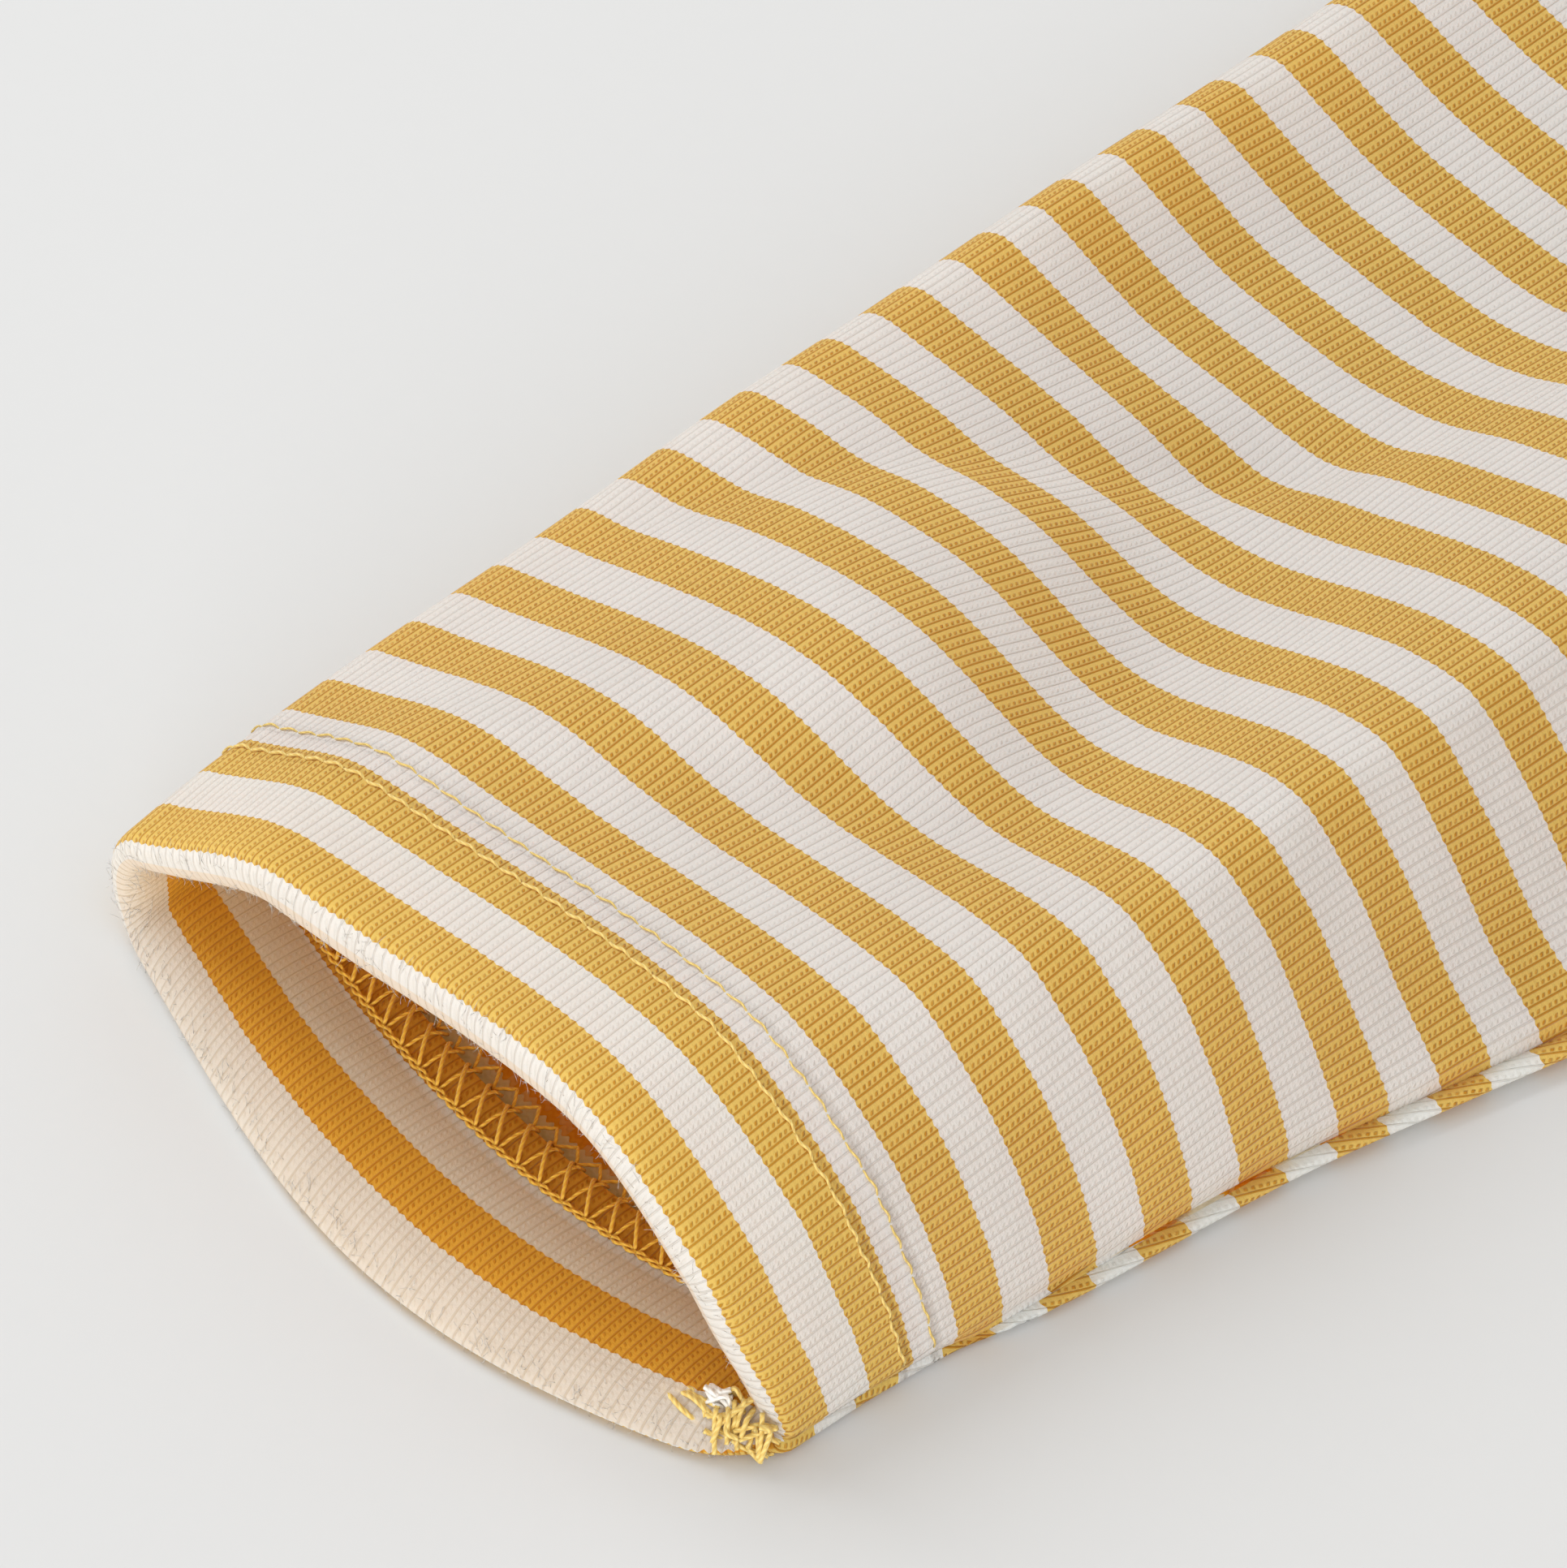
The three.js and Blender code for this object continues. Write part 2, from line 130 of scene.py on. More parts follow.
LEFT_SECTIONS = [
    (0, 1, 11, 0.3, 18.6, 0.45, 19.2, 0.64, 19.6, 15.6, 11.4, 7, 7, 0.3, 0.3),
    (14, 0.4, 11, 0.28, 17.6, 0.46, 17.4, 0.66, 18.8, 15.6, 11, 6.6, 6.6, 0.4, 0.4),
    (34, 0, 10.2, 0.26, 15.6, 0.48, 13.6, 0.7, 18, 14.8, 10.2, 6.2, 6.2, 1.2, 1.2),
    (58, 0, 9.4, 0.22, 11.4, 0.42, 9.2, 0.66, 17.4, 13, 8.8, 5.6, 5.6, 2.4, 2.4),
    (86, 0, 9.2, 0.2, 8.6, 0.36, 7.4, 0.6, 16.6, 11.4, 8, 5, 5, 3.4, 3.4),
    (118, 0, 9.8, 0.22, 8.8, 0.38, 7.6, 0.62, 14.6, 10.2, 7.6, 4.8, 4.8, 3.8, 3.8),
    (150, 0, 10.4, 0.26, 12, 0.48, 8.2, 0.7, 13.2, 10, 7.4, 4.8, 4.8, 3.6, 3.6),
    (190, 0, 9.6, 0.3, 12.6, 0.54, 9.6, 0.74, 13.2, 10.4, 7.6, 4.8, 4.8, 3.2, 3.2),
    (226, 0, 9.6, 0.28, 12, 0.52, 10.4, 0.72, 13.8, 10.8, 8, 4.8, 4.8, 2.4, 2.4),
    (247, 0, 9.8, 0.27, 12, 0.5, 10.8, 0.7, 14.2, 11.2, 8.6, 5, 5, 1.2, 1.2),
    (261, 0, 10, 0.27, 12.2, 0.5, 10.9, 0.7, 14.4, 11.8, 10, 6, 4, 0.5, 0.5),
    (280, 0, 10.4, 0.28, 12.6, 0.5, 11, 0.7, 14.4, 12.6, 12, 11, 0, 0, 0),
    (330, 2, 11, 0.32, 15, 0.54, 12.2, 0.76, 14.2, 13.4, 13.1, 12.8, 0, 0, 0),
    (375, 8, 11.4, 0.33, 14.4, 0.53, 13.2, 0.76, 14.6, 13.8, 13.6, 13.4, 0, 0, 0),
] + WAIST_SECTIONS


# ---------------------------------------------------------------- curves and sections
def curve_through(at, value):
    """A curve through knots that never swings past them: cubic pieces, level at each high and low."""
    at, value = np.asarray(at, float), np.asarray(value, float)
    width = np.diff(at)
    slope = np.diff(value) / width
    tangent = np.zeros(len(at))
    tangent[0], tangent[-1] = slope[0], slope[-1]
    both = slope[:-1] * slope[1:] > 0
    total = np.where(both, slope[:-1] + slope[1:], 1)
    tangent[1:-1] = np.where(both, 2 * slope[:-1] * slope[1:] / total, 0)

    def curve(x):
        k = np.clip(np.searchsorted(at, x, side="left") - 1, 0, len(at) - 2)
        t = np.clip((x - at[k]) / width[k], 0, 1)
        rise = value[k + 1] - value[k]
        bow = (1 - t) * (tangent[k] * width[k] - rise) - t * (tangent[k + 1] * width[k] - rise)
        return value[k] + rise * t + t * (1 - t) * bow

    return curve


def smoothstep(x, low, high):
    t = np.clip((np.asarray(x, float) - low) / (high - low), 0, 1)
    return t * t * (3 - 2 * t)


def columns_of(rows):
    rows = np.array(rows, float)
    return {name: curve_through(rows[:, 0], rows[:, c]) for c, name in enumerate(COLUMNS)}


def width_at(along):
    centre = (HALF_SPREAD - RISE_GAP / 2 - along * math.sin(LEAN)) / math.cos(LEAN)
    return min(ANKLE + TAPER * along, centre)


def to_garment(x, along, z, row):
    level = float(smoothstep(row, INSEAM, SIDE - 15))
    return np.stack(
        [
            -HALF_SPREAD + x * math.cos(LEAN) + along * math.sin(LEAN),
            along * math.cos(LEAN) - x * math.sin(LEAN) * (1 - level),
            np.maximum(z, 0),
        ],
        axis=-1,
    )


def section_at(columns, along):
    """Fine points of one section: the top from the outer fold to the front edge, and the underside
    from the outer fold to the back edge."""
    here = {name: float(columns[name](along)) for name in COLUMNS}
    width = width_at(along) - here["inset"]
    seam = width + here["edge"] - here["lap"]
    end = seam / width
    profile = curve_through(
        [OUTER_ROUND * 0.8, here["ridgeAt"], here["troughAt"], here["crestAt"], FLANK_AT, FOOT_AT, end],
        [here[k] for k in ("fold", "ridge", "trough", "crest", "flank", "foot", "front")],
    )
    middle = here["fold"] * FOLD_MIDDLE
    top_back = MOUTH_TOP_BACK * math.exp(-along / MOUTH_TOP_REACH)
    floor_forward = MOUTH_FLOOR_FORWARD * math.exp(-along / MOUTH_FLOOR_REACH)
    corner_back = CORNER_BACK * math.exp(-along / CORNER_REACH)

    def corner(part, spread):
        return corner_back * np.exp(-(((1 - part) / spread) ** 2))

    round_shares = OUTER_ROUND * (1 - np.sin(np.linspace(math.pi / 2, 0, 25)))
    share = np.concatenate([round_shares, np.linspace(OUTER_ROUND, end, 240)[1:]])
    part = share / end
    arch = np.sin(math.pi * part).clip(0)
    grow = float(smoothstep(along, SIDE - GATHER_REACH, SIDE)) * GATHER_HEIGHT
    gather = grow * np.cos(2 * math.pi * GATHERS * share) * arch**0.3
    cloth = profile(share) + gather
    turn = np.sqrt((1 - (1 - share / OUTER_ROUND).clip(0, 1) ** 2))
    height = np.where(share < OUTER_ROUND, middle + (cloth - middle) * turn, cloth)
    shift = top_back * arch * (1 + MOUTH_TOP_SKEW * part) + corner(part, CORNER_TOP_SHARE)
    top = to_garment(here["inset"] + share * width, along + shift, height, along)

    turn = np.linspace(0, math.pi / 2, 17)
    edge = width + here["edge"]
    floor_end = edge - FLOOR_TUCK
    rolled = edge + EDGE_OF_LAP * here["lap"] + EDGE_ROUND * float(smoothstep(here["lap"], 0, EDGE_ROUND_LAP))
    t = np.linspace(0, 1, 40)[1:]
    back = here["back"]
    strip_x = (1 - t) ** 3 * floor_end + 3 * (1 - t) * t * rolled + t**3 * seam
    strip_z = 3 * (1 - t) * t**2 * STRIP_BULGE * back + t**3 * back
    x = np.concatenate(
        [FLOOR_ROUND * (1 - np.cos(turn)), np.linspace(FLOOR_ROUND, floor_end, 120)[1:], strip_x]
    )
    z = np.concatenate([middle * (1 - np.sin(turn)), np.zeros(119), strip_z])
    part = np.clip(x / seam, 0, 1)
    shift = corner(part, CORNER_FLOOR_SHARE) - floor_forward * np.sin(math.pi * part**MOUTH_FLOOR_SKEW)
    under = to_garment(here["inset"] + x, along + shift, z, along)
    return top, under


def unit(vectors):
    return vectors / np.maximum(np.linalg.norm(vectors, axis=-1, keepdims=True), 1e-9)


def arc_of(points):
    """How far each point lies along its line."""
    return np.concatenate([[0], np.cumsum(np.linalg.norm(np.diff(points, axis=0), axis=1))])


def along_arc(points, where):
    """Points of a line at shares of its length, and that length."""
    arc = arc_of(points)
    at = where * arc[-1]
    return np.stack([np.interp(at, arc, points[:, k]) for k in range(3)], axis=-1), arc[-1]


def shares(count, fine, ends):
    """Shares from 0 to 1, closer together at the far end over the last few millimetres."""
    main = np.linspace(0, 1 - ends, count - fine)
    tail = 1 - ends * (1 - np.linspace(0, 1, fine + 1)[1:]) ** 1.5
    return np.concatenate([main, tail])


def normals_of(grid):
    across = np.gradient(grid, axis=1)
    up = np.gradient(grid, axis=0)
    return unit(-np.cross(across, up))


TOP_SHARES = shares(92, 10, 0.05)
UNDER_SHARES = shares(88, 10, 0.05)


# ---------------------------------------------------------------- the cloth's own small form
# Soft creases, one row each: along and across in millimetres from the hem and the outer fold,
# half-length, half-width, height (below 0 is a trough) and the turn of its line from the leg's, in degrees.
CREASE_COLUMNS = "along across length width height turn".split()
RIGHT_CREASES = [
    (96, 40, 22, 4.5, -1.4, 38),
    (112, 52, 24, 5, 0.9, 34),
    (64, 18, 18, 4, -0.8, 30),
    (160, 62, 30, 6, -1.4, -18),
    (196, 40, 34, 7, 1.9, 22),
    (232, 76, 30, 5.5, -2.3, -34),
    (250, 92, 26, 4.5, 1.9, -46),
    (262, 78, 30, 5, -2, -58),
    (292, 84, 30, 5, 1.9, -66),
    (300, 50, 44, 9, -1.9, -72),
    (322, 30, 36, 7, 1.6, -40),
    (352, 70, 28, 6, -1.4, 12),
]
LEFT_CREASES = [
    (44, 46, 22, 5, -1, -28),
    (92, 30, 26, 5, 1, 26),
    (124, 60, 26, 5.5, -1.4, 40),
    (150, 34, 30, 6, 1.2, -20),
    (184, 74, 28, 5, -1.9, -30),
    (214, 46, 38, 7, -1.6, 24),
    (240, 88, 26, 4.5, 1.9, -42),
    (256, 72, 32, 5, -2, -54),
    (286, 90, 28, 5, 1.6, -64),
    (306, 56, 40, 8, -1.9, -74),
    (336, 36, 36, 8, 1.6, -30),
    (366, 66, 26, 6, -1.2, 16),
]

CREASE_WAVER = 0.12  # of its half-width, from side to side
CREASE_WAVES = 2.3
CREASED_ACROSS = (2, 12)  # creases die out towards the outer fold
CREASED_ALONG = (0, 30)  # and towards the hem

# Thickness of the turned-up hem by the distance from its fold: the fold is soft, the stitching flat.
HEM_AT = (0, 0.5, 1.2, 2.5, 5, 8, 11, 13.1, 14.6, 16.2, 18)
NOSE = 1.6  # round of the fold
FLOOR_HEM = curve_through(HEM_AT, (1.7, 1.8, 2.1, 2.7, 3.1, 2.8, 2.2, 1.7, 1.9, 1.7, 1.7))
FRONT_HEM = curve_through(HEM_AT, (4.7, 4.7, 4.6, 4.2, 3.5, 2.8, 2.2, 1.7, 1.9, 1.7, 1.7))


def hem_thickness(rows, across):
    """Fuller along the front, where no weight flattens it, and most towards the seam."""
    front = smoothstep(across, -30, 40)
    return FLOOR_HEM(rows)[:, None] * (1 - front) + FRONT_HEM(rows)[:, None] * front


def crease_height(creases, along, across):
    height = np.zeros(np.broadcast(along, across).shape)
    for row in creases:
        c = dict(zip(CREASE_COLUMNS, row))
        turn = math.radians(c["turn"])
        dv, du = along - c["along"], across - c["across"]
        lengthwise = dv * math.cos(turn) + du * math.sin(turn)
        waver = CREASE_WAVER * c["width"] * np.sin(lengthwise / c["length"] * CREASE_WAVES)
        sideways = du * math.cos(turn) - dv * math.sin(turn) + waver
        height += c["height"] * np.exp(-((lengthwise / c["length"]) ** 2 + (sideways / c["width"]) ** 2))
    return height


def rows_between(*stretches):
    """Row positions: stretches are (start, end, step)."""
    made = [np.arange(a, b - step * 0.5, step) for a, b, step in stretches]
    return np.concatenate(made + [[stretches[-1][1]]])


class Leg:
    """The outer face of one leg as a grid: rows up the leg, columns from the front edge round the outer
    fold to the back edge. side is -1 for the wearer's right leg, as it is drawn, and 1 for the left."""

    def __init__(self, sections, creases, side, rows):
        self.columns = columns_of(sections)
        self.creases = creases
        self.side = side
        self.rows = rows
        grid, arc_top, arc_under = [], [], []
        for along in rows:
            top, under = section_at(self.columns, float(along))
            a, top_length = along_arc(top, TOP_SHARES)
            b, under_length = along_arc(under, UNDER_SHARES)
            grid.append(np.concatenate([a[::-1], b[1:]]))
            arc_top.append(top_length)
            arc_under.append(under_length)
        self.smooth = np.array(grid)
        self.top_count = len(TOP_SHARES)
        top_arc = np.outer(arc_top, TOP_SHARES[::-1])
        under_arc = np.outer(arc_under, UNDER_SHARES[1:])
        # signed distance from the outer fold, round the section: above it on top, below under
        self.across = np.concatenate([top_arc, -under_arc], axis=1)
        self.from_seam = np.concatenate(
            [np.array(arc_top)[:, None] - top_arc, np.array(arc_under)[:, None] - under_arc], axis=1
        )
        self.arc_top, self.arc_under = np.array(arc_top), np.array(arc_under)
        self.normals = normals_of(self.smooth)
        self.square_edges()
        self.creased = self.smooth + self.normals * self.crease_relief()[..., None]
        self.face = self.creased - self.normals * self.seam_dip()[..., None]
        self.face[..., 2] = np.maximum(self.face[..., 2], 0)
        self.fraction = np.arange(self.face.shape[1], dtype=float)
        self.thicken()

    def square_edges(self):
        """The two sewn edges turn in along one direction: into the leg, and straight down at the rise."""
        n = self.normals
        for i, along in enumerate(self.rows):
            if along < INSEAM:
                n[i, 0] = n[i, -1] = unit(n[i, 0] + n[i, -1])
            else:
                n[i, 0], n[i, -1] = (0, 0, 1), (0, 0, -1)
        near = np.exp(-((self.from_seam / SQUARED) ** 2))[..., None]
        first, last = n[:, :1], n[:, -1:]
        half = np.arange(n.shape[1])[None, :, None] < self.top_count
        edge = np.where(half, first, last)
        self.normals = unit(n * (1 - near) + edge * near)

    def crease_relief(self):
        along = self.rows[:, None]
        made = crease_height(self.creases, along, self.across)
        return made * smoothstep(self.across, *CREASED_ACROSS) * smoothstep(along, *CREASED_ALONG)

    def seam_dip(self):
        """How deep the sewn edges turn in; past the hem they never sink into the layer below."""
        rise = smoothstep(self.rows, INSEAM - 10, INSEAM + 20)[:, None]
        deep = SEAM_DIP + (RISE_DIP - SEAM_DIP) * rise
        on_top = np.arange(self.from_seam.shape[1]) < self.top_count
        dip = deep * np.exp(-((self.from_seam / np.where(on_top, SEAM_SHOULDER, STRIP_SHOULDER)) ** 2))
        up = self.normals[..., 2]
        room = np.maximum(self.creased[..., 2] - LOW_EDGE, 0) / np.maximum(up, 0.1)
        held = np.where(up > 0, np.minimum(dip, room), dip)
        return dip + (held - dip) * smoothstep(self.rows, *PAST_HEM)[:, None]

    def thicken(self):
        """The wall's two faces: the hem's nose is round, and the sewn edges stand deeper inside."""
        rows, normals = self.rows, self.normals
        round_off = np.sqrt(1 - (1 - np.clip(rows / NOSE, 0, 1)) ** 2)[:, None, None]
        hem = (rows <= HEM_DEPTH + 1e-6)[:, None, None]
        hem_thick = hem_thickness(rows, self.across)[..., None]
        tip = hem_thick[0] / 2
        near = self.from_seam[..., None]
        single = CLOTH + SEAM_EXTRA * np.exp(-((near / SEAM_EXTRA_REACH) ** 2))
        dip = self.seam_dip()[..., None]
        deep = np.where(hem, tip + (hem_thick - tip) * round_off, single)
        self.outer = self.face - normals * np.where(hem, tip * (1 - round_off), 0)
        self.inner = self.creased - normals * (deep + 0.9 * dip)
        self.inner[..., 2] = np.maximum(self.inner[..., 2], LEAST_UNDER)
        for face in (self.outer, self.inner):
            face[..., 0] = np.minimum(face[..., 0], -RISE_GAP / 2)

    def on(self, inside, along, across, lift):
        """Points of a face at places along and across, raised from it by lift."""
        face = self.inner if inside else self.outer
        sign = -1 if inside else 1
        along, across, lift = np.broadcast_arrays(along, across, lift)
        i = np.clip(np.searchsorted(self.rows, along) - 1, 0, len(self.rows) - 2)
        s = ((along - self.rows[i]) / (self.rows[i + 1] - self.rows[i])).clip(0, 1)[:, None]
        points = 0
        for row, share in ((i, 1 - s), (i + 1, s)):
            at = np.array([np.interp(-x, -self.across[r], self.fraction) for r, x in zip(row, across)])
            j = np.clip(at.astype(int), 0, face.shape[1] - 2)
            t = (at - j)[:, None]
            here = face[row, j] * (1 - t) + face[row, j + 1] * t
            out = self.normals[row, j] * (1 - t) + self.normals[row, j + 1] * t
            points = points + share * (here + sign * out * lift[:, None])
        return points


# ---------------------------------------------------------------- meshes
def to_row(points):
    """Millimetres in the part's draft to metres in the row frame."""
    out = np.array(points, float).reshape(-1, 3) + (0, TO_ROW_Y, 0)
    return out / 1000


def mesh_object(name, points, quads, maps, indices=None):
    """An object from points in millimetres and faces. maps are (name, corner values in face order)."""
    mesh = bpy.data.meshes.new(name)
    points = to_row(points)
    sizes = np.concatenate([np.full(len(q), q.shape[1]) for q in quads])
    corners = np.concatenate([q.ravel() for q in quads])
    mesh.vertices.add(len(points))
    mesh.vertices.foreach_set("co", points.astype(np.float32).ravel())
    mesh.loops.add(len(corners))
    mesh.loops.foreach_set("vertex_index", corners.astype(np.int32))
    mesh.polygons.add(len(sizes))
    starts = np.concatenate([[0], np.cumsum(sizes)[:-1]])
    mesh.polygons.foreach_set("loop_start", starts.astype(np.int32))
    mesh.polygons.foreach_set("loop_total", sizes.astype(np.int32))
    if indices is not None:
        mesh.polygons.foreach_set("material_index", indices.astype(np.int32))
    for map_name, values in maps:
        layer = mesh.uv_layers.new(name=map_name)
        layer.data.foreach_set("uv", values.astype(np.float32).ravel())
    mesh.update(calc_edges=True)
    mesh.validate()
    mesh.polygons.foreach_set("use_smooth", np.ones(len(sizes), bool))
    obj = bpy.data.objects.new(name, mesh)
    bpy.context.scene.collection.objects.link(obj)
    return obj


def grid_faces(rows, cols, closed_rows=False, closed_cols=False):
    """Quads of a grid of points numbered row by row, facing along rows x columns."""
    i = np.arange(rows if closed_rows else rows - 1)
    j = np.arange(cols if closed_cols else cols - 1)
    i, j = np.meshgrid(i, j, indexing="ij")
    up, over = (i + 1) % rows, (j + 1) % cols
    quads = np.stack([i * cols + j, i * cols + over, up * cols + over, up * cols + j], axis=-1)
    return quads.reshape(-1, 4)


BACK_OFFSET = 0.5  # the back's stripes start this much lower
SEAM_OFFSET = 0.7  # and its edge was sewn lower still
SEAM_OFFSET_REACH = 4
STRIP_FALL = -0.35  # its courses run on a little way down the leg from the seam
STRIP_REACH = 3
BACK_TWIST = 0.12  # and its wales turn under from it
TWIST_REACH = 120
TWIST_WIDTH = 30
BACK_ENDS = INSEAM + 40  # above this the back's stripes meet the front's
MAP_MM = 100  # one unit of a surface map


def grain_of(leg):
    """Cloth coordinates of a leg's outer face in millimetres: across the wales, and up the courses."""
    along = leg.rows[:, None]
    under = leg.across < 0
    near = leg.from_seam
    inward = 1 - np.clip(near / leg.arc_under[:, None], 0, 1)
    fallen = STRIP_FALL * STRIP_REACH * (1 - np.exp(-near / STRIP_REACH)) * smoothstep(along, 8, 34)
    offset = BACK_OFFSET * smoothstep(inward, 0.25, 0.5) + SEAM_OFFSET * np.exp(-near / SEAM_OFFSET_REACH)
    courses = along + np.where(under, (offset - fallen * inward) * (along < BACK_ENDS), 0)
    skewed = BACK_TWIST * TWIST_REACH * (1 - np.exp(-along / TWIST_REACH))
    wales = leg.across - np.where(under, skewed * np.exp(-((near / TWIST_WIDTH) ** 2)), 0)
    return wales, courses


def edge_faces(count, cols, column):
    """Faces that close a leg's wall along one sewn edge, from the outer rows to the inner ones."""
    first = np.arange(count)
    inner = np.where(first == 0, count - 1, count - 1 + first)
    outer = count - 1 - first
    return np.stack([outer[:-1], outer[1:], inner[1:], inner[:-1]], axis=-1) * cols + column


def shell(name, leg, cloths):
    """A closed shell: outer face down to the hem, round its fold, up the turned-in hem and the inside.
    cloths are the jersey's face side, its wrong side and its face side where the hem turns in."""
    rows = leg.rows
    count, cols = leg.face.shape[:2]
    step = int(np.argmax(rows > HEM_DEPTH))
    grid = np.concatenate([leg.outer[::-1], leg.inner[1:]])
    total = len(grid)
    faces = grid_faces(total, cols, closed_rows=True)[:, ::-1]
    wales, courses = grain_of(leg)
    # facing: the same cloth, turned in, so its courses run on below the fold
    inner_len = np.concatenate([[0], np.cumsum(np.hypot(np.diff(rows), np.diff(FLOOR_HEM(rows))))])
    facing = -inner_len[:, None] + (courses - rows[:, None])
    inner_courses = np.where((rows <= HEM_DEPTH + 1e-6)[:, None], facing, courses)
    u = np.concatenate([wales[::-1], wales[1:]])
    v = np.concatenate([courses[::-1], inner_courses[1:]])
    along = np.concatenate([rows[::-1], rows[1:]])
    across = np.concatenate([leg.across[::-1], leg.across[1:]])
    ring = np.repeat(np.arange(total), cols - 1)
    # faces of the raw edge keep the facing's courses all over
    corner_v = v.ravel()[faces]
    raw_edge = ring == count - 2 + step
    lower = (count - 2 + step) * cols
    at = np.where(faces[raw_edge] >= lower + cols, faces[raw_edge] - cols, faces[raw_edge])
    corner_v[raw_edge] = v.ravel()[at]
    # values at the corners of each set of faces, for the maps grain and place
    sources = (u.ravel(), np.repeat(along, cols), across.ravel(), np.repeat(along, cols))
    corners = [[values[faces]] for values in sources]
    corners[1] = [corner_v]
    quads = [faces]
    wrong = (ring >= count - 1 + step) & (ring < total - 1)
    turned_in = (ring >= count - 1) & (ring < count - 1 + step)
    index = [wrong + 2 * turned_in]
    for j, turn in ((0, False), (cols - 1, True)):
        quad = edge_faces(count, cols, j)
        if turn:
            quad = quad[:, ::-1]
        # the last quad at the tip has two equal corners
        tri = quad[0]
        tri = np.array([[x for k, x in enumerate(tri) if x not in tri[:k]]])
        for made in (quad[1:], tri):
            quads.append(made)
            index.append(np.zeros(len(made)))
            for parts, values in zip(corners, sources):
                parts.append(values[made])
    if leg.side > 0:
        grid = grid * [-1, 1, 1]
        quads = [q[:, ::-1] for q in quads]
        corners = [[part[:, ::-1] for part in parts] for parts in corners]
    flat = [np.concatenate([part.ravel() for part in parts]) for parts in corners]
    grain, place = (np.stack(flat[k : k + 2], axis=-1) / MAP_MM for k in (0, 2))
    maps = [("grain", grain), ("place", place)]
    obj = mesh_object(name, grid, quads, maps, np.concatenate(index))
    for cloth in cloths:
        obj.data.materials.append(cloth)
    return obj


# ---------------------------------------------------------------- waistband
BAND_WALL = 2.6
BAND_PROUD = 0.35
BAND_EDGE = 1.5  # round of its top edge and of the seam below
RUCHE = 4.6  # one small gather over the elastic
RUCHE_HEIGHT = 0.34
FULLNESS = 1.22  # cloth to elastic


class Band:
    """The waistband: both legs' sections carried on past their top edges and joined into one ring."""

    def __init__(self):
        self.rows = rows_between((SIDE + SEAM_GAP, SIDE + 2.7, 0.6), (SIDE + 2.7, WAIST_Y - 2.5, 1.98),
                                 (WAIST_Y - 2.5, WAIST_Y - 0.5, 0.5), (WAIST_Y - 0.5, WAIST_Y, 0.25))
        right, left = columns_of(RIGHT_SECTIONS), columns_of(LEFT_SECTIONS)
        face = []
        for along in self.rows:
            ring = []
            for columns, flip in ((right, 1), (left, -1)):
                top, under = section_at(columns, float(along))
                a, _ = along_arc(top, np.linspace(0, 1, 150))
                b, _ = along_arc(under, np.linspace(0, 1, 120))
                half = np.concatenate([a[::-1], b[1:]]) * (flip, 1, 1)
                ring.append(half if flip > 0 else half[::-1])
            ring[0][0, 0] = ring[0][-1, 0] = -0.15
            ring[1][0, 0] = ring[1][-1, 0] = 0.15
            face.append(np.concatenate(ring))
        self.smooth = np.array(face)
        wide = np.concatenate([self.smooth[:, -1:], self.smooth, self.smooth[:, :1]], axis=1)
        self.normals = normals_of(wide)[:, 1:-1]
        self.normals[..., 1] = 0
        self.normals = unit(self.normals)
        self.around = arc_of(np.concatenate([self.smooth[0], self.smooth[0][:1]]))
        self.girth = self.around[-1]

    def profile(self):
        """How far each row stands proud, and how far its top edge is rounded back."""
        low = np.clip((self.rows - self.rows[0]) / BAND_EDGE, 0, 1)
        high = np.clip((WAIST_Y - self.rows) / (BAND_WALL / 2), 0, 1)
        foot = np.sqrt(1 - (1 - low) ** 2)
        crown = np.sqrt(1 - (1 - high) ** 2)
        return foot, crown

    def ruches(self):
        """Small uneven gathers over the elastic."""
        turns = round(self.girth / RUCHE)
        at = self.around[:-1] / self.girth * 2 * math.pi
        rows = (self.rows - SIDE)[:, None]
        phase = turns * at + 1.3 * np.sin(7 * at + 0.08 * rows) + 0.9 * np.sin(17 * at + 1.0 - 0.05 * rows)
        strength = 0.75 + 0.25 * np.sin(5 * at + 0.4) * np.cos(3 * at)
        middle = 0.55 + 0.45 * np.cos((rows / BAND_WIDTH - 0.5) * 2 * math.pi)
        edge = 1 - 0.55 * np.abs(middle)
        return RUCHE_HEIGHT * strength * edge * np.sin(phase)


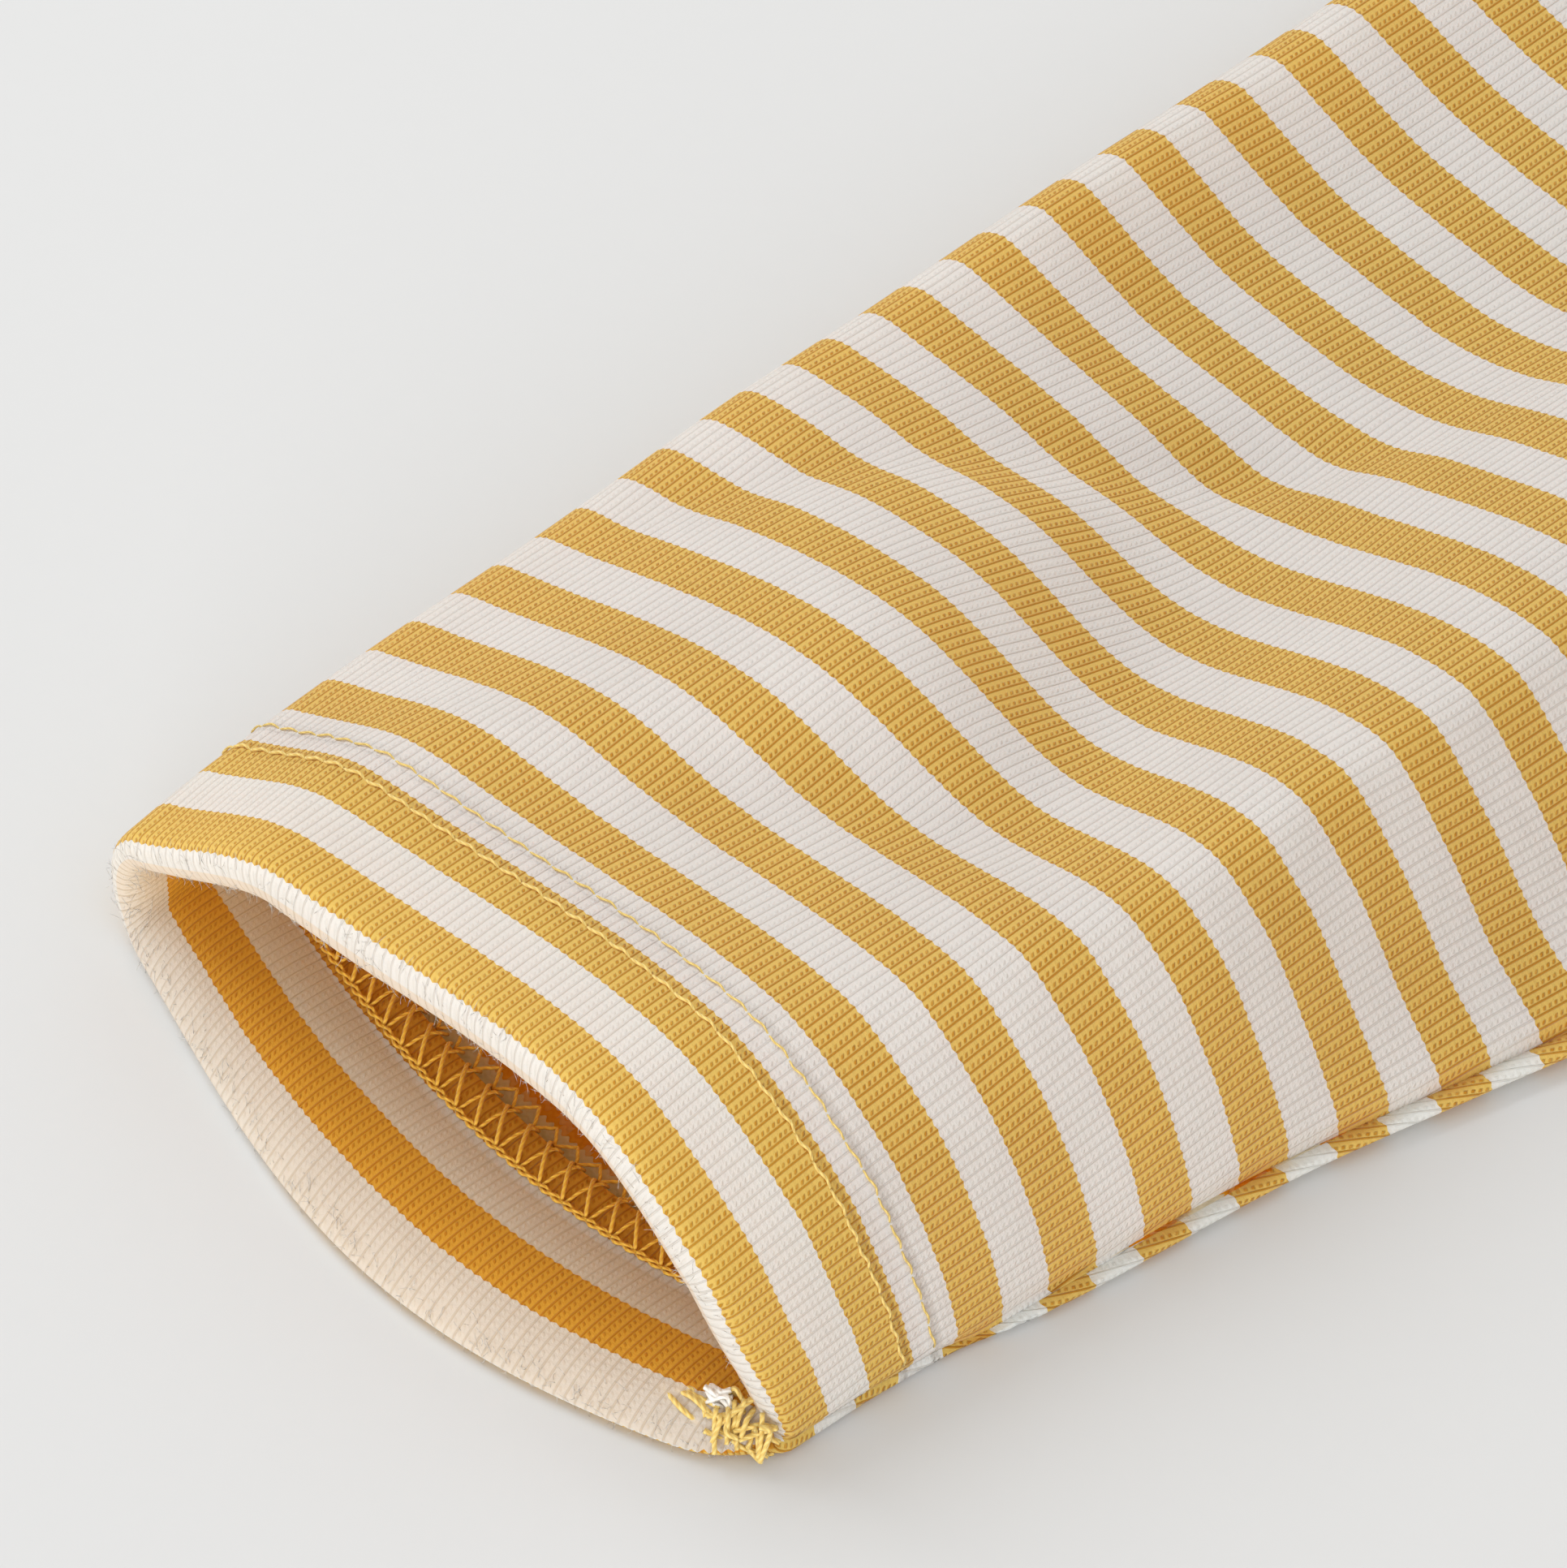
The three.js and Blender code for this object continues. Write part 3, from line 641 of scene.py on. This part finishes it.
def band_shell(name, cloth):
    band = Band()
    foot, crown = band.profile()
    rows, count = band.rows, band.smooth.shape[1]
    ruches = band.ruches()
    full = (foot * crown)[:, None]
    out = (BAND_PROUD * foot - SEAM_DIP * 0.7 * (1 - foot))[:, None] + ruches * full
    outer = band.smooth + band.normals * (out - (BAND_WALL / 2) * (1 - crown)[:, None])[..., None]
    deep = BAND_WALL - (BAND_WALL / 2) * (1 - crown)
    inner = band.smooth - band.normals * ((deep - BAND_PROUD)[:, None] + 0.5 * ruches * full)[..., None]
    outer[..., 2] = np.maximum(outer[..., 2], 0)
    grid = np.concatenate([outer, inner[::-1][1:]])
    total = len(grid)
    faces = grid_faces(total, count, closed_rows=True, closed_cols=True)
    up = np.concatenate([rows, 2 * WAIST_Y - rows[::-1][1:]])
    i, j = faces[:, 0] // count, faces[:, 0] % count
    across = np.stack([band.around[j], band.around[j + 1], band.around[j + 1], band.around[j]], axis=-1)
    rise = np.stack([up[i], up[i], up[(i + 1) % total], up[(i + 1) % total]], axis=-1)
    rise[i == total - 1] = up[-1]
    grain = np.stack([across.ravel() * FULLNESS, rise.ravel()], axis=-1) / MAP_MM
    place = np.stack([across.ravel(), rise.ravel()], axis=-1) / MAP_MM
    obj = mesh_object(name, grid, [faces], maps=[("grain", grain), ("place", place)])
    obj.data.materials.append(cloth)
    return obj


# ---------------------------------------------------------------- threads
THREAD = 0.14  # radius of a sewing thread
TIGHT_THREAD = 0.1  # and where the row beyond the turned-in edge is pulled tight
FLOSS = 0.15  # radius of the softer looper thread
SEAM_CLEAR = 1.6  # stitches of the hem stop this far from the seam
RING_UP = (0.13, 0.21, 0.97)  # no thread runs quite along this direction
STITCH_RISE = 0.3  # a stitch swells this much from its hole
STITCH_SAG = 0.12  # and its hole lies this much under the face


def tubes(paths, sides):
    """Round threads along paths. Each path is an array of points, and its radius or radii."""
    points, quads, caps, where = [], [], [], []
    start = 0
    angle = np.arange(sides) / sides * 2 * math.pi
    for path, radius in paths:
        path = np.asarray(path, float)
        ahead = unit(np.gradient(path, axis=0))
        side = unit(np.cross(ahead, RING_UP))
        other = np.cross(side, ahead)
        ring = np.cos(angle)[:, None] * side[:, None] + np.sin(angle)[:, None] * other[:, None]
        wide = np.asarray(radius, float) * np.ones(len(path))
        points.append((path[:, None] + ring * wide[:, None, None]).reshape(-1, 3))
        quads.append(grid_faces(len(path), sides, closed_cols=True) + start)
        first = start + np.arange(sides)
        last = first + (len(path) - 1) * sides
        caps.append(first[::-1])
        caps.append(last)
        around, along = np.broadcast_arrays(np.arange(sides)[None, :], arc_of(path)[:, None])
        where.append(np.stack([around, along], -1).reshape(-1, 2))
        start += len(path) * sides
    return np.concatenate(points), np.concatenate(quads), np.array(caps), np.concatenate(where)


def thread_object(name, paths, material, flip, sides):
    points, quads, caps, where = tubes(paths, sides)
    if flip:
        points = points * (-1, 1, 1)
        quads, caps = quads[:, ::-1], caps[:, ::-1]
    faces = [quads, caps]
    corners = np.concatenate([where[f.ravel()] for f in faces]) / MAP_MM
    obj = mesh_object(name, points, faces, maps=[("place", corners)])
    obj.data.materials.append(material)
    return obj


def hem_circuit(leg, along):
    """Where stitches of one row fall round a hem: from the front of the seam to its back."""
    row = int(np.argmin(np.abs(leg.rows - along)))
    high, low = leg.arc_top[row] - SEAM_CLEAR, -(leg.arc_under[row] - SEAM_CLEAR)
    count = round((high - low) / STITCH)
    return np.linspace(high, low, count + 1)


def needle_row(leg, along, radius, loose, rng):
    """Thread on the outer face: each stitch swells out of one hole and dives into the next."""
    paths = []
    holes = hem_circuit(leg, along)
    for a, b in zip(holes[:-1], holes[1:]):
        t = np.linspace(0, 1, 9)
        sway = loose * rng.uniform(0.6, 1.2) * np.sin(2 * math.pi * t) + loose * rng.uniform(-0.4, 0.4)
        rise = np.sin(math.pi * t) ** 0.5 * STITCH_RISE - STITCH_SAG
        wide = radius * (0.75 + 0.25 * np.sin(math.pi * t))
        paths.append((leg.on(False, along + sway * t * (1 - t) * 4, a + (b - a) * t, rise), wide))
    return paths


def looper_rows(leg, rng):
    """The coverstitch's inner side: a chain, crossed threads over the raw edge, and loops beyond it."""
    near, far = NEEDLE_ROWS
    paths = []

    def lay(along, across, lift, wide=FLOSS):
        paths.append((leg.on(True, along, across, lift), wide))

    holes = hem_circuit(leg, near)
    for a, b in zip(holes[:-1], holes[1:]):
        step = b - a
        jitter = rng.uniform(-0.15, 0.15, 4)
        t = np.linspace(0, 1, 7)
        # a twisted pair along the near row
        for turn in (0, math.pi):
            w = near + 0.02 + 0.2 * np.sin(math.pi * t * 2 + turn)
            lift = 0.22 + 0.13 * np.cos(math.pi * t * 2 + turn)
            lay(w, a + step * t, lift)
        # one thread straight over, one slanting back across it
        rise = np.sin(math.pi * t)
        w = near + 0.1 + (far - near + 0.5 + jitter[0]) * t
        lay(w, a + step * (0.25 * t + jitter[1] * t), 0.12 + 0.3 * rise)
        w = near + 0.1 + (far - near + 0.3 + jitter[2]) * t
        lean = -1.05 + jitter[3]
        lay(w, a + step * (0.9 + lean * t), 0.2 + 0.5 * rise, FLOSS * 1.15)
        # loops lie on the single cloth beyond the raw edge
        t = np.linspace(0, 1, 11)
        bulge = np.sin(math.pi * t) ** 0.75
        w = far + 0.3 + (1.5 + 2 * jitter[0]) * bulge
        at = a + step * (t + 0.13 * np.sin(2 * math.pi * t))
        lay(w, at, 0.14 + 0.2 * (1 - bulge))
    return paths


# Overlock threads drawn out at the seam's lower end, a row for each small bundle: where it starts and
# where it ends as millimetres across the leg, along it and up, its strands and how far apart they lie,
# how far they bow up, and whether they are ends of the white yarn.
TAIL_COLUMNS = "across along up toAcross toAlong toUp strands pitch bow white".split()
TAIL_BUNDLES = [
    (67, 0, 2.4, 71, 0.5, 2.7, 5, 0.3, 0.4, 0),  # the drawn chain
    (71.5, 1, 3.3, 73.5, -0.5, 1.9, 4, 0.5, 0.3, 0),
    (72.5, 2.5, 3.3, 74, 0.5, 2, 3, 0.5, 0.3, 0),
    (71.5, 0, 2.8, 73, 2.5, 3, 3, 0.4, 0.5, 0),
    (74.5, 2.2, 3, 75.5, 1, 1.4, 4, 0.5, 0.4, 0),
    (72, -0.3, 2, 76, 1.8, 0.7, 3, 0.3, -0.2, 0),
    (74, 1, 2.4, 75.5, 2.8, 2.2, 3, 0.4, 0.5, 0),
    (70.5, 2, 3, 72, 3.2, 3, 2, 0.3, 0.9, 0),
    (69.8, 1, 2.8, 71.6, 2, 2.9, 5, 0.3, 0.5, 1),
]
TAIL_THREAD = 0.21
TAIL_WANDER = 0.38  # how far a strand strays from its bundle's line
TAIL_PLIES = ((0, 0, 0), (0.12, -0.14, 0.1))
TAIL_LEAST_UP = 0.3


def smooth_path(knots, count):
    """A soft curve through a few points."""
    knots = np.array(knots, float)
    span = arc_of(knots)
    at = np.linspace(0, span[-1], count)
    coarse = np.stack([np.interp(at, span, knots[:, k]) for k in range(3)], axis=-1)
    for _ in range(6):
        coarse[1:-1] = 0.25 * coarse[:-2] + 0.5 * coarse[1:-1] + 0.25 * coarse[2:]
    return coarse


def tail_paths(white, rng):
    """Strands of the bundles, each of two plies, side by side and slightly tangled."""
    paths = []
    for row in TAIL_BUNDLES:
        b = dict(zip(TAIL_COLUMNS, row))
        if b["white"] != white:
            continue
        start = np.array([b["across"], b["along"], b["up"]])
        end = np.array([b["toAcross"], b["toAlong"], b["toUp"]])
        side = unit(np.cross(end - start, (0, 0, 1)))
        for k in range(b["strands"]):
            place = side * b["pitch"] * (k - (b["strands"] - 1) / 2)
            middle = (start + end) / 2 + (0, 0, b["bow"])
            knots = [p + place + rng.normal(0, TAIL_WANDER, 3) for p in (start, middle, end)]
            for ply in TAIL_PLIES:
                path = smooth_path(np.array(knots) + ply, 18)
                path[:, 2] = np.maximum(path[:, 2], TAIL_LEAST_UP)
                paths.append((to_garment(*path.T, 0), TAIL_THREAD * rng.uniform(0.8, 1.05)))
    return paths


FIBRES = 900
FIBRE_RADII = np.array([0.024, 0.022, 0.02, 0.016, 0.01])
FIBRES_INSIDE = 0.7  # share of them on the fold's inner side


def fuzz(leg, rng):
    """Loose fibres that stand off the hem's fold."""
    paths = []
    for _ in range(FIBRES):
        across = rng.uniform(-leg.arc_under[0] + 2, leg.arc_top[0] - 2)
        inside = rng.random() < FIBRES_INSIDE
        along = abs(rng.normal(0, 0.8)) if inside else abs(rng.normal(0, 0.2))
        base = leg.on(inside, [along], [across], [0.0])[0]
        tip = leg.on(inside, [along + rng.normal(0, 0.3)], [across + rng.normal(0, 0.5)],
                     [rng.uniform(0.3, 0.9)])[0]
        middle = (base + tip) / 2 + rng.normal(0, 0.14, 3)
        curl = tip + rng.normal(0, 0.22, 3)
        path = smooth_path([base, middle, tip, curl], len(FIBRE_RADII))
        path[:, 2] = np.maximum(path[:, 2], 0.02)
        paths.append((path, FIBRE_RADII))
    return paths


# ---------------------------------------------------------------- materials
class Shading:
    """A material's nodes, with sums written as calls."""

    def __init__(self, name):
        self.material = bpy.data.materials.new(name)
        self.material.use_nodes = True
        self.tree = self.material.node_tree
        self.shader = self.tree.nodes["Principled BSDF"]

    def node(self, kind, fed=(), **settings):
        """A new node. fed holds values or sockets for its inputs, in order or by name."""
        made = self.tree.nodes.new(kind)
        for key, value in settings.items():
            setattr(made, key, value)
        for key, value in fed.items() if isinstance(fed, dict) else enumerate(fed):
            self.feed(made.inputs[key], value)
        return made

    def feed(self, socket, value):
        if isinstance(value, bpy.types.NodeSocket):
            self.tree.links.new(value, socket)
        elif value is not None:
            socket.default_value = value

    def surface(self, sockets):
        for name, value in sockets.items():
            self.feed(self.shader.inputs[name], value)
        return self.material

    def math(self, operation, a, b=None):
        return self.node("ShaderNodeMath", (a, b), operation=operation).outputs[0]

    def add(self, a, b):
        return self.math("ADD", a, b)

    def sub(self, a, b):
        return self.math("SUBTRACT", a, b)

    def mul(self, a, b):
        return self.math("MULTIPLY", a, b)

    def ramp(self, x, low, high, smooth=True):
        """0 below low and 1 above high."""
        kind = "SMOOTHSTEP" if smooth else "LINEAR"
        fed = (x, low, high, 0.0, 1.0)
        return self.node("ShaderNodeMapRange", fed, interpolation_type=kind).outputs[0]

    def bell(self, x, middle, width):
        """1 at middle, falling to 0 at width either side."""
        d = self.math("ABSOLUTE", self.sub(x, middle))
        return self.sub(1.0, self.ramp(d, 0.0, width))

    def blend(self, factor, a, b, mode="MIX"):
        fed = {"Factor": factor, "A": a, "B": b}
        return self.node("ShaderNodeMix", fed, data_type="RGBA", blend_type=mode).outputs["Result"]

    def noise(self, vector, scale, detail=2.0, rough=0.5):
        fed = {"Vector": vector, "Scale": scale, "Detail": detail, "Roughness": rough}
        return self.node("ShaderNodeTexNoise", fed).outputs["Fac"]

    def pair(self, x, y, z=0.0):
        return self.node("ShaderNodeCombineXYZ", (x, y, z)).outputs[0]

    def map_mm(self, name):
        """A map's two coordinates in millimetres."""
        uv = self.node("ShaderNodeUVMap", uv_map=name)
        parts = self.node("ShaderNodeSeparateXYZ", uv.outputs[:1])
        return self.mul(parts.outputs[0], MAP_MM), self.mul(parts.outputs[1], MAP_MM)

    def bump(self, height, distance, strength=1.0, normal=None):
        fed = {"Height": height, "Distance": distance, "Strength": strength, "Normal": normal}
        return self.node("ShaderNodeBump", fed).outputs[0]


def linear(r, g, b):
    """A colour from 0 to 255 as the shader takes it."""
    return tuple(((c / 255 + 0.055) / 1.055) ** 2.4 if c > 10 else c / 255 / 12.92 for c in (r, g, b)) + (1,)


# Colours of the white stripe and the yellow one: at a stitch's top, painted light on the stitches; deep
# between stitches, painted shade in the grooves and pinholes; and of the light that comes through.
OUTER_COLOURS = (
    (linear(248, 250, 248), linear(243, 213, 116)),
    (linear(230, 230, 225), linear(212, 152, 44)),
    (linear(253, 254, 250), linear(255, 202, 72)),
)
# The inner colours are warmer and more saturated: partly the wrong side's own tone, partly painted warm glow
# of light bouncing inside the leg; the face side turned in at the hem takes them too.
INNER_COLOURS_WITH_PAINTED_GLOW = (
    (linear(254, 251, 243), linear(255, 192, 70)),
    (linear(240, 228, 208), linear(232, 142, 30)),
    (linear(255, 246, 226), linear(255, 202, 72)),
)
THROUGH = 0.36  # share of the light that thin cloth passes on
TURNED_THROUGH = 0.5  # and more of it where it is turned in
WRONG_THROUGH = 0.85  # and on the side that faces into the leg
BUMP = 0.001  # metres for a bump of 1, so the reliefs below are in millimetres
SOFT_RELIEF = 0.25
KNIT_RELIEF = 0.17
KNIT_STRENGTH = 0.85
FIBRE_RELIEF = 0.05
HOLE_REACH = 0.95
HOLE_PULL = 0.28
PUCKER = 0.16


def jersey(name, wrong=False, inside=False):
    """Striped single jersey: its face side, its wrong side, or its face side turned in at a hem."""
    s = Shading(name)
    u_mm, v_mm = s.map_mm("grain")
    x_mm, along = s.map_mm("place")
    drift = s.noise(s.pair(s.mul(u_mm, 0.05), s.mul(v_mm, 0.05)), 1.0, 2.0)
    u = s.add(s.mul(u_mm, 1 / WALE), s.mul(s.sub(drift, 0.5), 0.5))
    v = s.mul(v_mm, 1 / COURSE)
    column = s.math("FLOOR", u)
    from_edge = s.math("FRACT", u)
    half = s.mul(s.math("ABSOLUTE", s.sub(from_edge, 0.5)), 2.0)
    unevenness = s.noise(s.pair(s.mul(column, 0.37), s.mul(v, 0.35)), 1.0, 1.0)
    v = s.add(v, s.mul(s.sub(unevenness, 0.5), 0.3))
    if wrong:
        # purl side: rows of short arcs that lock into each other
        wave = s.math("SINE", s.mul(u, 2 * math.pi))
        phase = s.add(v, s.mul(wave, 0.32))
        thread = s.math("FRACT", phase)
        over = s.math("SINE", s.mul(thread, math.pi))
        across = s.math("ABSOLUTE", s.math("SINE", s.mul(u, 2 * math.pi)))
        height = s.mul(over, s.add(0.45, s.mul(across, 0.55)))
    else:
        # face side: a ridge to each wale, then a pinhole a stitch and a thin groove to the next
        phase = s.sub(v, s.mul(half, 0.28))
        thread = s.math("FRACT", phase)
        over = s.math("SINE", s.mul(thread, math.pi))
    course = s.math("FLOOR", phase)
    repeat = s.mul(s.sub(s.mul(s.add(course, 0.5), COURSE), FIRST_STRIPE), 1 / (2 * STRIPE))
    is_yellow = s.math("LESS_THAN", s.math("FRACT", repeat), 0.5)
    if not wrong:
        groove = s.mul(s.ramp(half, 0.72, 0.98), s.add(0.6, s.mul(is_yellow, 0.4)))
        between = s.sub(1.0, s.ramp(s.math("ABSOLUTE", s.sub(from_edge, 0.64)), 0.07, 0.24))
        slant = s.math("FRACT", s.add(v, s.mul(from_edge, 1.1)))
        hole = s.sub(1.0, s.ramp(s.math("SINE", s.mul(slant, math.pi)), 0.3, 0.95))
        pin = s.mul(hole, between)
        uneven = s.noise(s.pair(s.mul(column, 1.9), s.mul(course, 1.3)), 1.0, 0.0)
        pin = s.mul(s.mul(pin, s.add(0.35, s.mul(is_yellow, 0.6))), s.add(0.35, uneven))
        rib = s.mul(s.add(0.85, s.mul(over, 0.15)), s.sub(1.0, pin))
        height = s.mul(s.sub(1.0, groove), rib)
    fibres = s.noise(s.pair(s.mul(u_mm, 5.0), s.mul(v_mm, 9.0)), 1.0, 3.0, 0.6)
    cloudy = s.noise(s.pair(s.mul(x_mm, 0.09), s.mul(along, 0.09)), 1.0, 2.0)
    if wrong:
        specks = s.noise(s.pair(s.mul(column, 3.7), s.mul(course, 2.9)), 1.0, 0.0)
        flecks = s.mul(s.ramp(specks, 0.5, 0.62), 0.42)
        is_yellow = s.math("ABSOLUTE", s.sub(is_yellow, s.mul(flecks, is_yellow)))
    # Painted warm glow: the wrong side and the turned-in face side take the warmer inner colours.
    colours = INNER_COLOURS_WITH_PAINTED_GLOW if wrong or inside else OUTER_COLOURS
    # Painted light and shade: the colour runs from the deep colour to the top colour with the knit's relief
    # height; fibre noise adds random tone.
    top = s.blend(is_yellow, *colours[0])
    deep = s.blend(is_yellow, *colours[1])
    painted_relief_shade = s.add(s.mul(height, 0.85), s.mul(s.sub(fibres, 0.5), 0.6))
    colour = s.blend(s.ramp(painted_relief_shade, 0.05, 0.75, smooth=False), deep, top)
    shade = s.add(0.93, s.mul(cloudy, 0.12))
    colour = s.blend(1.0, colour, s.pair(shade, shade, shade), "MULTIPLY")
    # two rows of needle holes pull the hem's cloth in
    near, far = (s.bell(along, row, HOLE_REACH) for row in NEEDLE_ROWS)
    pulled = s.math("MAXIMUM", near, far)
    between = s.bell(along, sum(NEEDLE_ROWS) / 2, 2.2)
    beat = s.math("SINE", s.mul(x_mm, 2 * math.pi / STITCH))
    pucker = s.mul(s.mul(between, s.add(0.5, s.mul(beat, 0.5))), PUCKER)
    soft = s.noise(s.pair(s.mul(x_mm, 0.22), s.mul(along, 0.22)), 1.0, 2.0)
    form = s.add(s.sub(s.mul(soft, SOFT_RELIEF), s.mul(pulled, HOLE_PULL)), pucker)
    broad = s.bump(form, BUMP)
    relief = s.add(s.mul(height, KNIT_RELIEF), s.mul(fibres, FIBRE_RELIEF))
    fine = s.bump(relief, BUMP, KNIT_STRENGTH, broad)
    s.surface({
        "Base Color": colour,
        "Normal": fine,
        "Roughness": s.add(0.78, s.mul(fibres, 0.2)),
        "Specular IOR Level": 0.18,
        "Sheen Weight": 0.22,
        "Sheen Roughness": 0.45,
    })
    # thin cloth lets some light through, warmer than what it throws back
    through = s.node("ShaderNodeBsdfTranslucent")
    s.feed(through.inputs["Color"], s.blend(is_yellow, *colours[2]))
    s.feed(through.inputs["Normal"], broad)
    both = s.node("ShaderNodeMixShader")
    both.inputs[0].default_value = WRONG_THROUGH if wrong else TURNED_THROUGH if inside else THROUGH
    s.tree.links.new(s.shader.outputs[0], both.inputs[1])
    s.tree.links.new(through.outputs[0], both.inputs[2])
    s.tree.links.new(both.outputs[0], s.tree.nodes["Material Output"].inputs["Surface"])
    return s.material


def thread(name, colour, shade, plies=3.0):
    s = Shading(name)
    x, arc = s.map_mm("place")
    # Painted shade: the colour falls to the shade colour in the grooves between twisted plies; the hair noise
    # adds random tone.
    twist = s.math("SINE", s.add(s.mul(arc, 9.0), s.mul(x, plies * 2 * math.pi / 6)))
    ply = s.add(0.5, s.mul(twist, 0.5))
    hair = s.noise(s.pair(s.mul(arc, 3.0), x), 1.0, 2.0)
    return s.surface({
        "Base Color": s.blend(s.add(s.mul(ply, 0.65), s.mul(hair, 0.35)), shade, colour),
        "Normal": s.bump(s.add(s.mul(ply, 0.05), s.mul(hair, 0.03)), BUMP),
        "Roughness": 0.55,
        "Specular IOR Level": 0.35,
        "Sheen Weight": 0.2,
    })


def paper(name):
    s = Shading(name)
    grain = s.noise(s.node("ShaderNodeTexCoord").outputs["Object"], 400.0, 3.0)
    tone = s.add(0.7, s.mul(s.sub(grain, 0.5), 0.008))
    return s.surface({
        "Base Color": s.pair(tone, s.mul(tone, 0.999), s.mul(tone, 0.998)),
        "Roughness": 0.7,
        "Specular IOR Level": 0.15,
    })


# ---------------------------------------------------------------- the pieces
LEG_ROWS = rows_between(
    (0, 0.3, 0.1),
    (0.3, 1.2, 0.3),
    (1.2, 3.0, 0.6),
    (3.0, HEM_DEPTH, 0.825),
    (HEM_DEPTH, 16.5, 0.3),
    (16.5, 140, 1.3),
    (140, 410, 2.7),
    (410, SIDE - 0.1, 0.7),
)
right = Leg(RIGHT_SECTIONS, RIGHT_CREASES, -1, LEG_ROWS)
left = Leg(LEFT_SECTIONS, LEFT_CREASES, 1, LEG_ROWS)
face_cloth = jersey("striped jersey, face side")
wrong_cloth = jersey("striped jersey, wrong side", wrong=True)
turned_cloth = jersey("striped jersey, turned in", inside=True)
leg_cloths = (face_cloth, wrong_cloth, turned_cloth)
right_leg = shell("right_leg_cloth", right, leg_cloths)
left_leg = shell("left_leg_cloth", left, leg_cloths)
waistband = band_shell("waistband_cloth", face_cloth)
for cloth, node, slot in (
    (right_leg, "right_leg", "striped_jersey"),
    (left_leg, "left_leg", "striped_jersey"),
    (waistband, "waistband", "band_jersey"),
):
    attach(cloth, "root")
    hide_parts(node)

NEEDLE_SWAY = 0.16  # the upper thread wanders this much
TIGHT_SWAY = 0.14
# The second colour of each thread is painted shade between its plies.
needle_thread = thread("needle thread", linear(250, 226, 142), linear(230, 186, 88))
looper_thread = thread("looper thread", linear(255, 212, 82), linear(240, 168, 44))
fibre = thread("cotton fibre", linear(254, 251, 246), linear(248, 242, 232))
for side, leg, cloth, seed in (("right", right, right_leg, 7), ("left", left, left_leg, 19)):
    rng = np.random.default_rng(seed)
    rows = needle_row(leg, NEEDLE_ROWS[0], THREAD, NEEDLE_SWAY, rng)
    rows += needle_row(leg, NEEDLE_ROWS[1], TIGHT_THREAD, TIGHT_SWAY, rng)
    for end, paths, material, slot, sides in (
        ("_hem_needle_threads", rows, needle_thread, "sewing_thread", 6),
        ("_hem_looper_threads", looper_rows(leg, rng), looper_thread, "sewing_thread", 6),
        ("_seam_tail_threads", tail_paths(0, rng), needle_thread, "sewing_thread", 6),
        ("_seam_yarn_ends", tail_paths(1, rng), fibre, "striped_jersey", 6),
        ("_hem_fibres", fuzz(leg, rng), fibre, "striped_jersey", 3),
    ):
        piece = thread_object(side + end, paths, material, side == "left", sides)
        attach(piece, "root")

# ---------------------------------------------------------------- stage, light and camera
bpy.ops.mesh.primitive_plane_add(size=6, location=(0, 0, -0.0001))
floor = bpy.context.object
floor.name = "floor"
floor.data.materials.append(paper("pale table"))

scene = bpy.context.scene
scene.view_settings.view_transform = "Standard"
world = bpy.data.worlds.new("studio")
world.use_nodes = True
background = world.node_tree.nodes["Background"].inputs
background["Color"].default_value = (1.0, 0.98, 0.955, 1)
background["Strength"].default_value = 0.78
scene.world = world


def area_light(name, place, aim, size, watts, colour):
    data = bpy.data.lights.new(name, "AREA")
    data.shape = "RECTANGLE"
    data.size, data.size_y = size
    data.energy = watts
    data.color = colour
    lamp = bpy.data.objects.new(name, data)
    scene.collection.objects.link(lamp)
    lamp.location = place
    lamp.rotation_euler = (Vector(aim) - Vector(place)).to_track_quat("-Z", "Y").to_euler()


area_light("window", (-1.7, 0.05, 1.5), (0, 0, 0), (1.5, 1.5), 24, (0.92, 0.97, 1))
area_light("card", (0.6, -1.8, 0.35), (0, 0, 0), (1.2, 0.6), 17, (0.95, 0.98, 1))

VIEW_AZIMUTH = math.radians(45.523)
VIEW_ELEVATION = math.radians(50.288)
VIEW_DISTANCE = 0.898
AIM_ACROSS = 0.02838  # the middle of the view, from the hem's outer corner
AIM_ALONG = 0.05658
LENS = 258.74
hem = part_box("right_leg")[0]
VIEW_AIM = Vector((hem.x + AIM_ACROSS, hem.y + AIM_ALONG, 0))
level = math.cos(VIEW_ELEVATION)
back = Vector(
    (math.sin(VIEW_AZIMUTH) * level, -math.cos(VIEW_AZIMUTH) * level, math.sin(VIEW_ELEVATION))
)
camera_data = bpy.data.cameras.new("camera")
camera_data.lens = LENS
camera_data.sensor_width = 36
camera_data.clip_start = 0.05
camera_data.clip_end = 20
camera = bpy.data.objects.new("camera", camera_data)
scene.collection.objects.link(camera)
camera.location = VIEW_AIM + back * VIEW_DISTANCE
camera.rotation_euler = (-back).to_track_quat("-Z", "Y").to_euler()
scene.camera = camera
